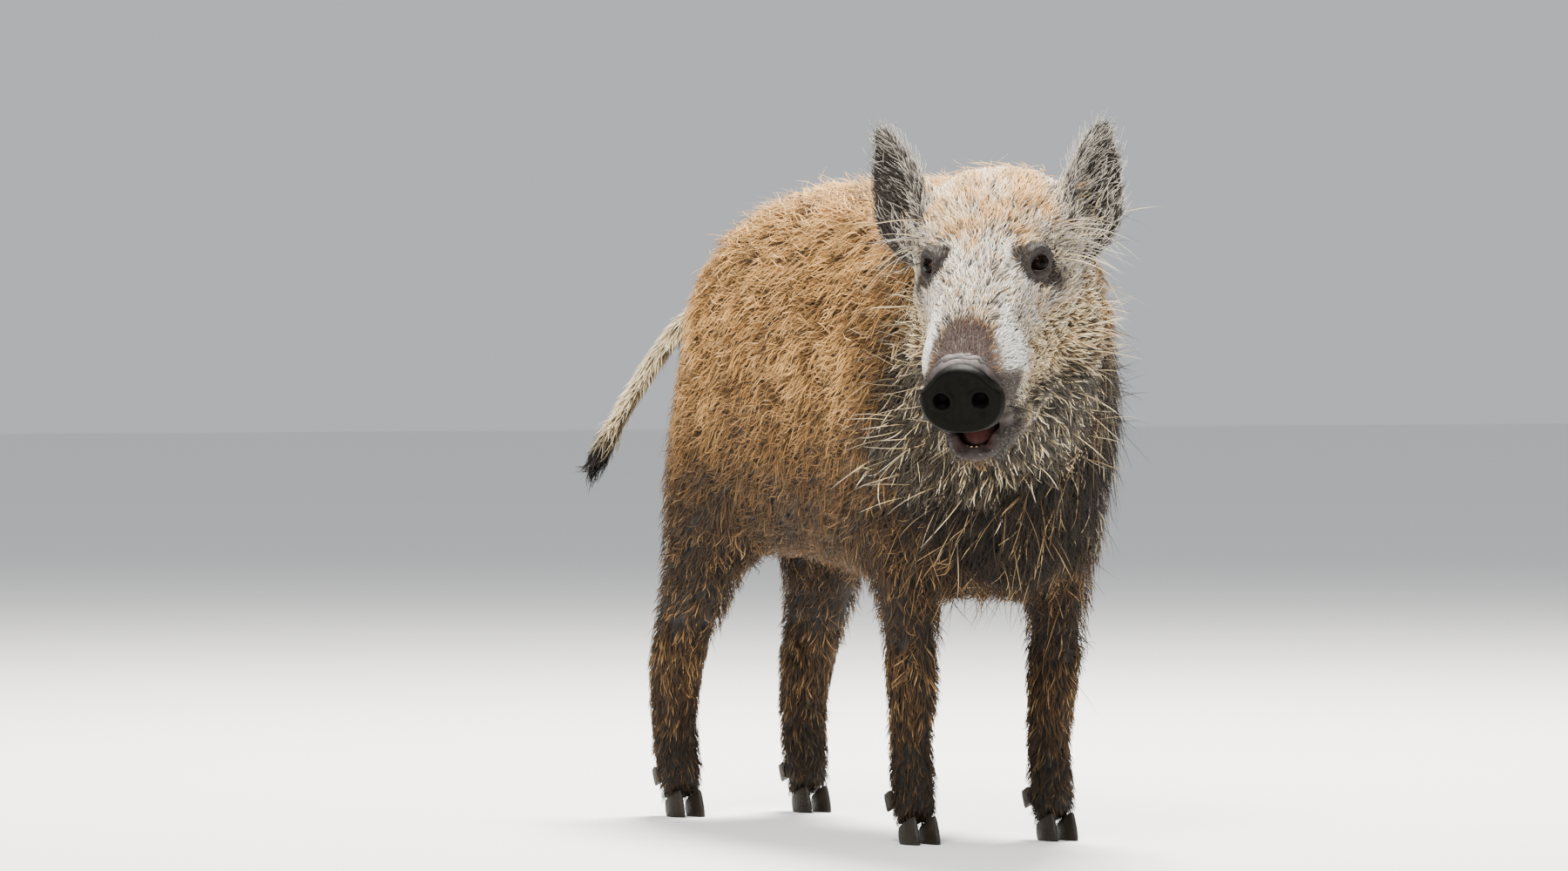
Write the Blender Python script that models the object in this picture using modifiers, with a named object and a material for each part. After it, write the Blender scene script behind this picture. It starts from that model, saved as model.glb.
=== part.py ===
"""Wild boar, standing, life size.

The outer form is the outline of the coat. Lofts and ellipsoids are joined into one smooth
body, which is then parted into the animal's named parts with gaps of 0.3 mm. The boar
faces -Y, +X is its left side and the floor is z = 0. Its head is turned to its right.
"""

import math
from collections import namedtuple

import bmesh
import bpy
import numpy as np
from mathutils import Matrix, Vector

# ---------------------------------------------------------------- driving dimensions, metres

GAP = 0.0003  # between touching parts
MERGE = 0.000002  # points nearer than this are one
VOXEL = 0.0045  # grid of the joined body
RING = 32  # points round a loft
ROWS_BETWEEN = 4  # rings made between two stations
BODY_TRIANGLES = 3500
FACE_RADIUS = 0.13  # round the face, where the surface keeps the most triangles

EYES_MIDDLE = (-0.1453, -0.600, 0.646)  # the head frame's origin
HEAD_YAW = math.radians(-38.0)  # turned to the boar's right
HEAD_ROLL = math.radians(-1.7)
HEAD_PITCH = math.radians(20.0)  # nose down

EYE_RADIUS = 0.0125
EYE_CENTRE = (0.0562, -0.0008, -0.0010)  # of the left eye, in the head frame
EYE_GAZE = (0.66, -0.74, 0.10)

DISC_CENTRE = (0.0, -0.1900, -0.0830)  # back face of the snout disc, in the head frame
DISC_TILT = math.radians(3.0)  # its lower edge lies further back
DISC_HALF = (0.0455, 0.0385)
DISC_DEPTH = 0.0170
DOME_Z = (0.006, 0.022)  # heights between which the disc narrows to its upper dome
DOME_NARROWING = 0.20
NOSTRIL_OFFSET = (0.0205, 0.0010)
NOSTRIL_HALF = (0.0094, 0.0098)
NOSTRIL_DEPTH = 0.0150

MOUTH_SLOPE = math.radians(14.0)  # of the mouth's floor and the tongue, rising backwards
FLOOR_CENTRE = (0, -0.1240, -0.1445)
FLOOR_RADII = (0.0285, 0.0380, 0.0175)
TONGUE_CENTRE = (0, -0.1200, -0.1480)
TONGUE_RADII = (0.0200, 0.0300, 0.0088)
TOOTH_OFFSETS = (-0.0135, -0.0080, -0.0027, 0.0027, 0.0080, 0.0135)
TOOTH_ROW = (-0.1590, 55.0)  # the row's front, and how fast it curves back to the sides
TOOTH_Z = -0.1525
TOOTH_RADII = (0.0024, 0.0012)  # at the root and at the edge
TOOTH_HEIGHT = 0.010
TOOTH_LEAN = math.radians(38.0)

EAR_THICKNESS = 0.0075

FORE_FOOT_X = 0.0865
FORE_FOOT_Y = -0.3160
HIND_FOOT_X = 0.0875
HIND_FOOT_Y = 0.3000
HIND_STEP = 0.010  # the left hind leg stands this much further back, the right one forward
FORE_WALL_X = 0.030  # inner wall of the block that a foreleg is parted with
HIND_WALL_X = 0.008
CLAW_HEIGHT = 0.034
CLAW_LENGTH = 0.046
CLAW_WIDTH = 0.0215
CLAW_HEEL = 0.016
CLAW_FORWARD = 0.013  # a claw's middle, ahead of the leg's end
CLAW_LEAN = 0.30  # how far a claw's wall leans back for its height
CLEFT = 0.0030  # between the two main claws
DEWCLAW_SPREAD = 0.0145  # from the foot's middle to a dewclaw's
DEWCLAW_BEHIND = 0.0235
DEWCLAW_Z = 0.0400

Section = namedtuple("Section", "centre side up half_width top bottom power_top power_bottom")
Part = namedtuple("Part", "colour roughness")

COAT_TAN = Part((0.30, 0.20, 0.11), 0.85)
COAT_DARK = Part((0.12, 0.085, 0.06), 0.85)
COAT_GREY = Part((0.34, 0.30, 0.25), 0.85)
SKIN_DARK = Part((0.07, 0.06, 0.05), 0.55)
HORN = Part((0.05, 0.045, 0.04), 0.45)
MOUTH = Part((0.35, 0.15, 0.12), 0.40)
EYE = Part((0.03, 0.018, 0.01), 0.08)

parts = None  # collection of the named solids
cutters = None  # collection of the hidden helpers


# ---------------------------------------------------------------- scene and object helpers


def clear_scene():
    for obj in list(bpy.data.objects):
        bpy.data.objects.remove(obj, do_unlink=True)
    for collection in list(bpy.data.collections):
        bpy.data.collections.remove(collection)


def new_collection(name):
    collection = bpy.data.collections.new(name)
    bpy.context.scene.collection.children.link(collection)
    return collection


def material_of(name, look):
    material = bpy.data.materials.new(name)
    material.use_nodes = True
    shader = material.node_tree.nodes["Principled BSDF"]
    shader.inputs["Base Color"].default_value = (*look.colour, 1.0)
    shader.inputs["Roughness"].default_value = look.roughness
    shader.inputs["Metallic"].default_value = 0.0
    return material


def object_from(name, bm, collection):
    """A new object from a bmesh, which is freed."""
    mesh = bpy.data.meshes.new(name)
    bm.to_mesh(mesh)
    bm.free()
    obj = bpy.data.objects.new(name, mesh)
    collection.objects.link(obj)
    return obj


def hide_as_cutter(obj):
    obj.hide_render = True
    obj.display_type = "WIRE"
    return obj


def bake_modifiers(obj):
    """Replaces the mesh by what the modifiers make of it."""
    graph = bpy.context.evaluated_depsgraph_get()
    baked = bpy.data.meshes.new_from_object(obj.evaluated_get(graph))
    obj.modifiers.clear()
    old = obj.data
    obj.data = baked
    bpy.data.meshes.remove(old)
    return obj


def boolean(obj, other, operation):
    modifier = obj.modifiers.new(operation.title(), "BOOLEAN")
    modifier.operation = operation
    modifier.solver = "EXACT"
    modifier.object = other
    return bake_modifiers(obj)


def copy_of(obj, name):
    twin = obj.copy()
    twin.data = obj.data.copy()
    twin.name = name
    cutters.objects.link(twin)
    return twin


def remove(*objects):
    for obj in objects:
        bpy.data.objects.remove(obj, do_unlink=True)


def finish(obj, name, look):
    """Makes an object one of the named solids."""
    for collection in list(obj.users_collection):
        collection.objects.unlink(obj)
    parts.objects.link(obj)
    obj.name = name
    obj.data.name = name
    tidy_mesh(obj.data)
    obj.data.materials.clear()
    obj.data.materials.append(material_of(name, look))
    obj.data.shade_smooth()
    obj.data.set_sharp_from_angle(angle=math.radians(50.0))
    obj.hide_render = False
    obj.display_type = "TEXTURED"
    return obj


def tidy_mesh(mesh):
    """Merges the points that cuts left together and splits every face into triangles."""
    bm = bmesh.new()
    bm.from_mesh(mesh)
    bmesh.ops.remove_doubles(bm, verts=bm.verts, dist=MERGE)
    bmesh.ops.dissolve_degenerate(bm, edges=bm.edges, dist=MERGE)
    bmesh.ops.triangulate(bm, faces=bm.faces)
    bm.to_mesh(mesh)
    bm.free()


# ---------------------------------------------------------------- forms


def between_stations(rows, count):
    """Rows of numbers with smooth rows put in between (a Catmull-Rom spline)."""
    rows = np.array(rows, float)
    padded = np.vstack([2 * rows[0] - rows[1], rows, 2 * rows[-1] - rows[-2]])
    dense = []
    for i in range(1, len(padded) - 2):
        a, b, c, d = padded[i - 1 : i + 3]
        for k in range(count):
            t = k / count
            dense.append(
                0.5
                * (
                    2 * b
                    + (c - a) * t
                    + (2 * a - 5 * b + 4 * c - d) * t**2
                    + (3 * b - a - 3 * c + d) * t**3
                )
            )
    dense.append(rows[-1])
    return np.array(dense).tolist()


def ring_points(section):
    """A closed superellipse ring, wider or taller as its section says."""
    points = []
    for i in range(RING):
        angle = 2 * math.pi * i / RING
        c, s = math.cos(angle), math.sin(angle)
        power = section.power_top if s >= 0 else section.power_bottom
        height = section.top if s >= 0 else section.bottom
        across = math.copysign(abs(c) ** (2 / power), c) * section.half_width
        upward = math.copysign(abs(s) ** (2 / power), s) * height
        points.append(section.centre + across * section.side + upward * section.up)
    return points


def loft(name, sections):
    """A closed body through the rings, with a point at the middle of each end."""
    bm = bmesh.new()
    rings = [[bm.verts.new(p) for p in ring_points(section)] for section in sections]
    for lower, upper in zip(rings, rings[1:]):
        for i in range(RING):
            j = (i + 1) % RING
            bm.faces.new((lower[i], lower[j], upper[j], upper[i]))
    for ring in (rings[0], rings[-1]):
        middle = bm.verts.new(sum((v.co for v in ring), Vector()) / RING)
        for i in range(RING):
            bm.faces.new((ring[i], ring[(i + 1) % RING], middle))
    bmesh.ops.recalc_face_normals(bm, faces=bm.faces)
    return hide_as_cutter(object_from(name, bm, cutters))


def lengthwise_loft(name, rows, matrix=Matrix.Identity(4)):
    """Rows of (y, x, middle z, half width, top z, bottom z, power top, power bottom)."""
    sections = [
        Section(
            Vector((x, y, middle)), Vector((1, 0, 0)), Vector((0, 0, 1)),
            max(half, 0.001), max(top - middle, 0.001), max(middle - bottom, 0.001),
            power_top, power_bottom,
        )
        for y, x, middle, half, top, bottom, power_top, power_bottom in between_stations(
            rows, ROWS_BETWEEN
        )
    ]
    obj = loft(name, sections)
    obj.data.transform(matrix)
    return obj


def upright_loft(name, rows, side):
    """Rows of (z, x, y, half width in x, half depth in y), for the side +1 or -1."""
    sections = [
        Section(
            Vector((side * x, y, z)), Vector((1, 0, 0)), Vector((0, 1, 0)),
            half_x, half_y, half_y, 2.2, 2.2,
        )
        for z, x, y, half_x, half_y in between_stations(rows, ROWS_BETWEEN)
    ]
    return loft(name, sections)


def ellipsoid(name, centre, radii, matrix=Matrix.Identity(4), turn=Matrix.Identity(4), fine=14):
    bm = bmesh.new()
    bmesh.ops.create_uvsphere(bm, u_segments=fine * 3 // 2, v_segments=fine, radius=1.0)
    place = matrix @ Matrix.Translation(centre) @ turn @ Matrix.Diagonal((*radii, 1.0))
    bmesh.ops.transform(bm, matrix=place, verts=bm.verts)
    bmesh.ops.recalc_face_normals(bm, faces=bm.faces)
    return hide_as_cutter(object_from(name, bm, cutters))


def box(name, low, high, matrix=Matrix.Identity(4)):
    low, high = Vector(low), Vector(high)
    bm = bmesh.new()
    bmesh.ops.create_cube(bm, size=1.0)
    place = Matrix.Translation((low + high) / 2) @ Matrix.Diagonal((*(high - low), 1.0))
    bmesh.ops.transform(bm, matrix=matrix @ place, verts=bm.verts)
    bmesh.ops.recalc_face_normals(bm, faces=bm.faces)
    return hide_as_cutter(object_from(name, bm, cutters))


def arched_block(name, side, wall_x, middle_y, radius, spring_z, grow):
    """A block under a leg's upper end: straight walls with a half-round top, along x."""
    steps = 8
    radius += grow
    outline = [(middle_y - radius, -0.05), (middle_y + radius, -0.05)]
    for i in range(steps + 1):
        angle = math.pi * i / steps
        outline.append((middle_y + radius * math.cos(angle), spring_z + radius * math.sin(angle)))
    bm = bmesh.new()
    face = bm.faces.new([bm.verts.new((side * (wall_x - grow), y, z)) for y, z in outline])
    moved = bmesh.ops.extrude_face_region(bm, geom=[face])["geom"]
    outer = [v for v in moved if isinstance(v, bmesh.types.BMVert)]
    bmesh.ops.translate(bm, verts=outer, vec=(side * 0.30, 0, 0))
    bmesh.ops.recalc_face_normals(bm, faces=bm.faces)
    return hide_as_cutter(object_from(name, bm, cutters))


def head_matrix():
    return (
        Matrix.Translation(EYES_MIDDLE)
        @ Matrix.Rotation(HEAD_YAW, 4, "Z")
        @ Matrix.Rotation(HEAD_ROLL, 4, "Y")
        @ Matrix.Rotation(HEAD_PITCH, 4, "X")
    )


HEAD = head_matrix()


def trunk_forms():
    # y, x, widest z, half width, top z, bottom z, power top, power bottom
    rows = [
        (0.386, 0, 0.520, 0.010, 0.560, 0.490, 2.0, 2.0),
        (0.374, 0, 0.510, 0.052, 0.610, 0.430, 2.0, 2.0),
        (0.345, 0, 0.500, 0.084, 0.660, 0.385, 2.1, 2.0),
        (0.300, 0, 0.495, 0.107, 0.701, 0.355, 2.2, 2.0),
        (0.250, 0, 0.490, 0.122, 0.728, 0.338, 2.2, 2.0),
        (0.190, 0, 0.485, 0.132, 0.750, 0.320, 2.2, 2.1),
        (0.100, 0, 0.480, 0.142, 0.764, 0.304, 2.1, 2.2),
        (0.000, 0, 0.475, 0.150, 0.767, 0.293, 2.0, 2.2),
        (-0.100, 0, 0.470, 0.158, 0.766, 0.285, 2.0, 2.2),
        (-0.200, 0, 0.468, 0.164, 0.763, 0.274, 1.9, 2.2),
        (-0.290, 0, 0.466, 0.169, 0.757, 0.265, 1.9, 2.2),
        (-0.355, 0, 0.465, 0.162, 0.744, 0.264, 1.9, 2.1),
        (-0.405, 0, 0.465, 0.140, 0.728, 0.282, 1.9, 2.0),
        (-0.445, 0, 0.465, 0.095, 0.680, 0.325, 1.9, 2.0),
        (-0.462, 0, 0.465, 0.020, 0.560, 0.400, 2.0, 2.0),
    ]
    forms = [lengthwise_loft("form_trunk", rows)]
    for side in (-1, 1):
        lean = Matrix.Rotation(math.radians(14.0), 4, "X")
        forms += [
            ellipsoid("form_ham", (side * 0.056, 0.285, 0.420), (0.052, 0.086, 0.130), turn=lean),
            ellipsoid("form_flank_fold", (side * 0.070, 0.170, 0.360), (0.040, 0.080, 0.070)),
            ellipsoid("form_shoulder", (side * 0.100, -0.270, 0.480), (0.072, 0.105, 0.190), turn=lean),
        ]
    return forms


def neck_forms():
    """Rings along a line that bends from the shoulders to the turned head."""
    # x, y, z, share of the head's turn, half width, up, down
    rows = [
        (0.000, -0.200, 0.530, 0.00, 0.146, 0.225, 0.200),
        (-0.004, -0.300, 0.536, 0.10, 0.150, 0.222, 0.215),
        (-0.018, -0.385, 0.544, 0.35, 0.138, 0.212, 0.212),
        (-0.042, -0.452, 0.560, 0.65, 0.120, 0.196, 0.180),
        (-0.073, -0.512, 0.578, 0.90, 0.105, 0.174, 0.146),
        (-0.108, -0.560, 0.590, 1.00, 0.092, 0.142, 0.120),
    ]
    sections = []
    for x, y, z, share, half, up, down in between_stations(rows, ROWS_BETWEEN):
        turn = Matrix.Rotation(share * HEAD_YAW, 3, "Z")
        sections.append(
            Section(
                Vector((x, y, z)), turn @ Vector((1, 0, 0)), Vector((0, 0, 1)),
                half, up, down, 1.9, 2.1,
            )
        )
    return [loft("form_neck", sections)]


def head_forms():
    # y, x, widest z, half width, top z, bottom z, power top, power bottom, in the head frame
    skull = [
        (0.155, 0, -0.070, 0.080, 0.058, -0.165, 2.6, 2.0),
        (0.125, 0, -0.070, 0.094, 0.078, -0.180, 2.9, 2.1),
        (0.090, 0, -0.070, 0.098, 0.081, -0.184, 3.0, 2.2),
        (0.050, 0, -0.070, 0.095, 0.068, -0.182, 2.9, 2.3),
        (0.020, 0, -0.070, 0.086, 0.053, -0.176, 2.7, 2.3),
        (-0.010, 0, -0.070, 0.0755, 0.038, -0.168, 2.5, 2.3),
        (-0.040, 0, -0.072, 0.0665, 0.025, -0.150, 2.5, 2.3),
        (-0.070, 0, -0.074, 0.0590, 0.012, -0.131, 2.5, 2.4),
        (-0.100, 0, -0.075, 0.0530, -0.001, -0.122, 2.5, 2.4),
        (-0.130, 0, -0.076, 0.0485, -0.015, -0.120, 2.5, 2.4),
        (-0.160, 0, -0.078, 0.0450, -0.029, -0.119, 2.4, 2.4),
        (-0.200, 0, -0.083, 0.0420, -0.046, -0.119, 2.3, 2.3),
    ]
    jaw = [
        (0.060, 0, -0.130, 0.084, -0.090, -0.182, 2.2, 2.1),
        (0.000, 0, -0.134, 0.072, -0.098, -0.182, 2.2, 2.1),
        (-0.040, 0, -0.140, 0.060, -0.108, -0.181, 2.4, 2.1),
        (-0.070, 0, -0.144, 0.0520, -0.112, -0.178, 2.8, 2.1),
        (-0.100, 0, -0.147, 0.0450, -0.115, -0.176, 3.2, 2.1),
        (-0.122, 0, -0.151, 0.0380, -0.122, -0.174, 2.8, 2.1),
        (-0.138, 0, -0.156, 0.0355, -0.137, -0.173, 2.8, 2.1),
        (-0.155, 0, -0.161, 0.0315, -0.1490, -0.1715, 2.9, 2.1),
        (-0.171, 0, -0.1620, 0.0170, -0.1555, -0.1675, 2.2, 2.1),
    ]
    forms = [
        lengthwise_loft("form_skull", skull, HEAD),
        lengthwise_loft("form_jaw", jaw, HEAD),
    ]
    for side in (-1, 1):
        gaze = Vector((side * EYE_GAZE[0], EYE_GAZE[1], EYE_GAZE[2]))
        forms += [
            ellipsoid("form_brow", (side * 0.041, 0.034, 0.014), (0.035, 0.056, 0.016), HEAD),
            ellipsoid("form_cheekbone", (side * 0.062, 0.050, -0.046), (0.031, 0.070, 0.036), HEAD),
            ellipsoid("form_jowl", (side * 0.070, 0.080, -0.122), (0.042, 0.070, 0.056), HEAD),
            ellipsoid("form_muzzle_side", (side * 0.030, -0.100, -0.070), (0.026, 0.075, 0.036), HEAD),
            ellipsoid("form_lip", (side * 0.033, -0.086, -0.118), (0.0145, 0.058, 0.0150), HEAD),
            ellipsoid(
                "form_ear_root", (side * 0.084, 0.096, 0.014), (0.021, 0.030, 0.042), HEAD,
                Matrix.Rotation(side * math.radians(-22.0), 4, "Y"),
            ),
            ellipsoid(
                "form_lids",
                (side * EYE_CENTRE[0], EYE_CENTRE[1], EYE_CENTRE[2]),
                (0.0185, 0.0140, 0.0160),
                HEAD,
                gaze.to_track_quat("Y", "Z").to_matrix().to_4x4(),
            ),
        ]
    return forms


def leg_forms():
    # z, x, y, half width, half depth
    fore = [
        (0.560, 0.070, -0.285, 0.060, 0.110),
        (0.480, 0.092, -0.292, 0.068, 0.108),
        (0.400, 0.100, -0.298, 0.058, 0.086),
        (0.340, 0.099, -0.302, 0.046, 0.064),
        (0.285, 0.096, -0.306, 0.0390, 0.050),
        (0.235, 0.092, -0.309, 0.0335, 0.040),
        (0.180, 0.0885, -0.312, 0.0305, 0.034),
        (0.145, 0.0875, -0.308, 0.0265, 0.030),
        (0.105, 0.0870, -0.306, 0.0245, 0.0265),
        (0.070, 0.0865, -0.309, 0.0265, 0.0280),
        (0.048, 0.0865, -0.3135, 0.0255, 0.0265),
        (0.010, 0.0865, -0.3200, 0.0235, 0.0255),
    ]
    hind = [
        (0.610, 0.045, 0.215, 0.058, 0.100),
        (0.520, 0.062, 0.228, 0.056, 0.108),
        (0.450, 0.069, 0.230, 0.056, 0.109),
        (0.385, 0.076, 0.234, 0.050, 0.096),
        (0.335, 0.080, 0.240, 0.045, 0.086),
        (0.290, 0.083, 0.250, 0.0420, 0.080),
        (0.250, 0.086, 0.269, 0.0375, 0.068),
        (0.220, 0.088, 0.291, 0.0345, 0.057),
        (0.190, 0.0885, 0.305, 0.0320, 0.047),
        (0.155, 0.0885, 0.313, 0.0295, 0.039),
        (0.115, 0.0880, 0.316, 0.0265, 0.032),
        (0.072, 0.0875, 0.311, 0.0275, 0.0300),
        (0.048, 0.0875, 0.304, 0.0260, 0.0270),
        (0.010, 0.0875, 0.297, 0.0240, 0.0255),
    ]
    forms = []
    for side in (-1, 1):
        forms.append(upright_loft("form_foreleg", fore, side))
        step = side * HIND_STEP
        forms.append(
            upright_loft("form_hindleg", [(z, x, y + step * max(0, 1 - z / 0.5), hx, hy)
                                          for z, x, y, hx, hy in hind], side)
        )
    return forms


def joined_body():
    """All the forms as one smooth surface, with more triangles kept on the head."""
    forms = trunk_forms() + neck_forms() + head_forms() + leg_forms()
    bm = bmesh.new()
    for form in forms:
        bm.from_mesh(form.data)
    remove(*forms)
    body = object_from("body", bm, cutters)
    remesh = body.modifiers.new("Join", "REMESH")
    remesh.mode = "VOXEL"
    remesh.voxel_size = VOXEL
    smooth = body.modifiers.new("Soften", "SMOOTH")
    smooth.factor = 0.5
    smooth.iterations = 8
    bake_modifiers(body)
    spend_triangles(body)
    return body


def spend_triangles(body):
    """Thins the surface, most on the trunk and least on the face."""
    coarse = body.vertex_groups.new(name="coarse")
    face_middle = HEAD @ Vector((0, -0.06, -0.05))
    for vertex in body.data.vertices:
        from_face = (vertex.co - face_middle).length
        share = min(1.0, max(0.0, (from_face - FACE_RADIUS) / FACE_RADIUS))
        leg = 0.35 if vertex.co.z < 0.26 else 0.0
        coarse.add([vertex.index], 0.30 + max(0.0, 0.70 * share - leg), "REPLACE")
    decimate = body.modifiers.new("Thin", "DECIMATE")
    decimate.vertex_group = coarse.name
    decimate.vertex_group_factor = 1.0
    triangles = sum(len(face.vertices) - 2 for face in body.data.polygons)
    decimate.ratio = BODY_TRIANGLES / triangles
    decimate.use_collapse_triangulate = True
    bake_modifiers(body)
    body.vertex_groups.clear()


# ---------------------------------------------------------------- parting


def part_off(body, region, grown):
    """What of the body lies in the region, and the body without the grown region."""
    piece = copy_of(body, "piece")
    boolean(piece, region, "INTERSECT")
    boolean(body, grown, "DIFFERENCE")
    remove(region, grown)
    return piece


def part_off_box(body, low, high, matrix=Matrix.Identity(4)):
    """Parts off what lies in a box, which is grown by the gap on its every side."""
    grow = Vector((GAP, GAP, GAP))
    region = box("region", low, high, matrix)
    grown = box("grown", Vector(low) - grow, Vector(high) + grow, matrix)
    return part_off(body, region, grown)


def part_off_leg(body, leg):
    block = (leg.side, leg.wall_x, leg.middle_y, leg.radius, leg.spring_z)
    return part_off(body, arched_block("region", *block, 0.0), arched_block("grown", *block, GAP))


# ---------------------------------------------------------------- eyes, ears, snout, mouth


def make_eyes(body):
    """Round eyes, and sockets that leave them showing between the lids."""
    for side, name in ((1, "eye_left"), (-1, "eye_right")):
        centre = Vector((side * EYE_CENTRE[0], EYE_CENTRE[1], EYE_CENTRE[2]))
        gaze = Vector((side * EYE_GAZE[0], EYE_GAZE[1], EYE_GAZE[2]))
        facing = gaze.to_track_quat("Z", "Y").to_matrix().to_4x4()
        place = HEAD @ Matrix.Translation(centre) @ facing
        for shape_radius, keep in ((EYE_RADIUS + GAP, False), (EYE_RADIUS, True)):
            bm = bmesh.new()
            bmesh.ops.create_uvsphere(bm, u_segments=12, v_segments=8, radius=shape_radius)
            bmesh.ops.transform(bm, matrix=place, verts=bm.verts)
            ball = object_from("ball", bm, cutters)
            if keep:
                finish(ball, name, EYE)
            else:
                boolean(body, ball, "DIFFERENCE")
                remove(ball)
        # the opening is longer than high and reaches further towards the nose
        slit = ellipsoid("slit", (-side * 0.0034, 0, 0.0175), (0.0160, 0.0120, 0.0138), place, fine=8)
        boolean(body, slit, "DIFFERENCE")
        remove(slit)


Ear = namedtuple("Ear", "name root tip opening")
EARS = (
    Ear("ear_left", (0.080, 0.088, -0.026), (0.1245, 0.110, 0.116), (0.78, -0.62, 0.0)),
    Ear("ear_right", (-0.080, 0.088, -0.026), (-0.1290, 0.112, 0.117), (-0.64, -0.77, 0.0)),
)


def ear_surface(ear):
    """The cupped leaf of an ear: an open surface round its axis, closing to the tip."""
    # share of the length, half width of the chord, half angle of the cup in degrees
    rows = [
        (0.00, 0.0140, 150.0),
        (0.10, 0.0225, 138.0),
        (0.22, 0.0305, 122.0),
        (0.38, 0.0360, 105.0),
        (0.54, 0.0350, 92.0),
        (0.72, 0.0285, 80.0),
        (0.88, 0.0185, 68.0),
        (0.96, 0.0115, 60.0),
        (1.00, 0.0055, 55.0),
    ]
    columns = 8
    root, tip = Vector(ear.root), Vector(ear.tip)
    axis = (tip - root).normalized()
    opening = Vector(ear.opening)
    opening = (opening - opening.dot(axis) * axis).normalized()
    across = axis.cross(opening)
    bm = bmesh.new()
    grid = []
    for share, half, half_angle in rows:
        limit = math.radians(half_angle)
        radius = half / math.sin(min(limit, math.pi / 2))
        line = []
        for i in range(columns + 1):
            angle = limit * (2 * i / columns - 1)
            outward = math.sin(angle) * across - math.cos(angle) * opening
            centre = root.lerp(tip, share) + 0.35 * radius * opening
            line.append(bm.verts.new(centre + radius * outward))
        grid.append(line)
    for lower, upper in zip(grid, grid[1:]):
        for i in range(columns):
            bm.faces.new((lower[i], lower[i + 1], upper[i + 1], upper[i]))
    bmesh.ops.recalc_face_normals(bm, faces=bm.faces)
    bmesh.ops.transform(bm, matrix=HEAD, verts=bm.verts)
    return object_from("ear", bm, cutters)


def make_ears(body):
    """Ears cut back to the head's surface, with the gap between."""
    head_grown = copy_of(body, "head_grown")
    swell = head_grown.modifiers.new("Swell", "DISPLACE")
    swell.strength = GAP
    swell.mid_level = 0.0
    bake_modifiers(head_grown)
    for ear in EARS:
        leaf = ear_surface(ear)
        wall = leaf.modifiers.new("Wall", "SOLIDIFY")
        wall.thickness = EAR_THICKNESS
        wall.offset = 0.0
        bake_modifiers(leaf)
        boolean(leaf, head_grown, "DIFFERENCE")
        keep_largest(leaf)
        finish(leaf, ear.name, COAT_GREY)
    remove(head_grown)


def keep_largest(obj):
    """Drops the loose crumbs that a cut left."""
    bm = bmesh.new()
    bm.from_mesh(obj.data)
    islands, seen = [], set()
    for start in bm.verts:
        if start in seen:
            continue
        island, stack = [], [start]
        seen.add(start)
        while stack:
            vertex = stack.pop()
            island.append(vertex)
            for edge in vertex.link_edges:
                other = edge.other_vert(vertex)
                if other not in seen:
                    seen.add(other)
                    stack.append(other)
        islands.append(island)
    islands.sort(key=len)
    for island in islands[:-1]:
        bmesh.ops.delete(bm, geom=island, context="VERTS")
    bm.to_mesh(obj.data)
    bm.free()


def disc_place():
    return HEAD @ Matrix.Translation(DISC_CENTRE) @ Matrix.Rotation(DISC_TILT, 4, "X")


def make_snout_disc(body):
    """The gristly disc at the muzzle's end, with two open nostrils."""
    place = disc_place()
    front_cut = box("front", (-0.1, -0.08, -0.075), (0.1, GAP, 0.1), place)
    boolean(body, front_cut, "DIFFERENCE")
    remove(front_cut)
    # depth from the back face, share of the full outline
    profile = [(0.0, 0.93), (0.0045, 1.0), (0.0105, 0.99), (0.0155, 0.89), (DISC_DEPTH, 0.72)]
    sections = [
        Section(
            Vector((0, -depth, 0)), Vector((1, 0, 0)), Vector((0, 0, 1)),
            DISC_HALF[0] * share, DISC_HALF[1] * share, DISC_HALF[1] * share, 2.1, 2.5,
        )
        for depth, share in profile
    ]
    disc = loft("disc", sections)
    for vertex in disc.data.vertices:
        rise = (vertex.co.z - DOME_Z[0]) / (DOME_Z[1] - DOME_Z[0])
        vertex.co.x *= 1 - DOME_NARROWING * min(1.0, max(0.0, rise))
    for side in (-1, 1):
        nostril = ellipsoid(
            "nostril",
            (side * NOSTRIL_OFFSET[0], -DISC_DEPTH - 0.001, NOSTRIL_OFFSET[1]),
            (NOSTRIL_HALF[0], NOSTRIL_DEPTH, NOSTRIL_HALF[1]),
            turn=Matrix.Rotation(side * math.radians(18.0), 4, "Y"),
            fine=8,
        )
        boolean(disc, nostril, "DIFFERENCE")
        remove(nostril)
    disc.data.transform(place)
    finish(disc, "snout_disc", SKIN_DARK)


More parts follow.
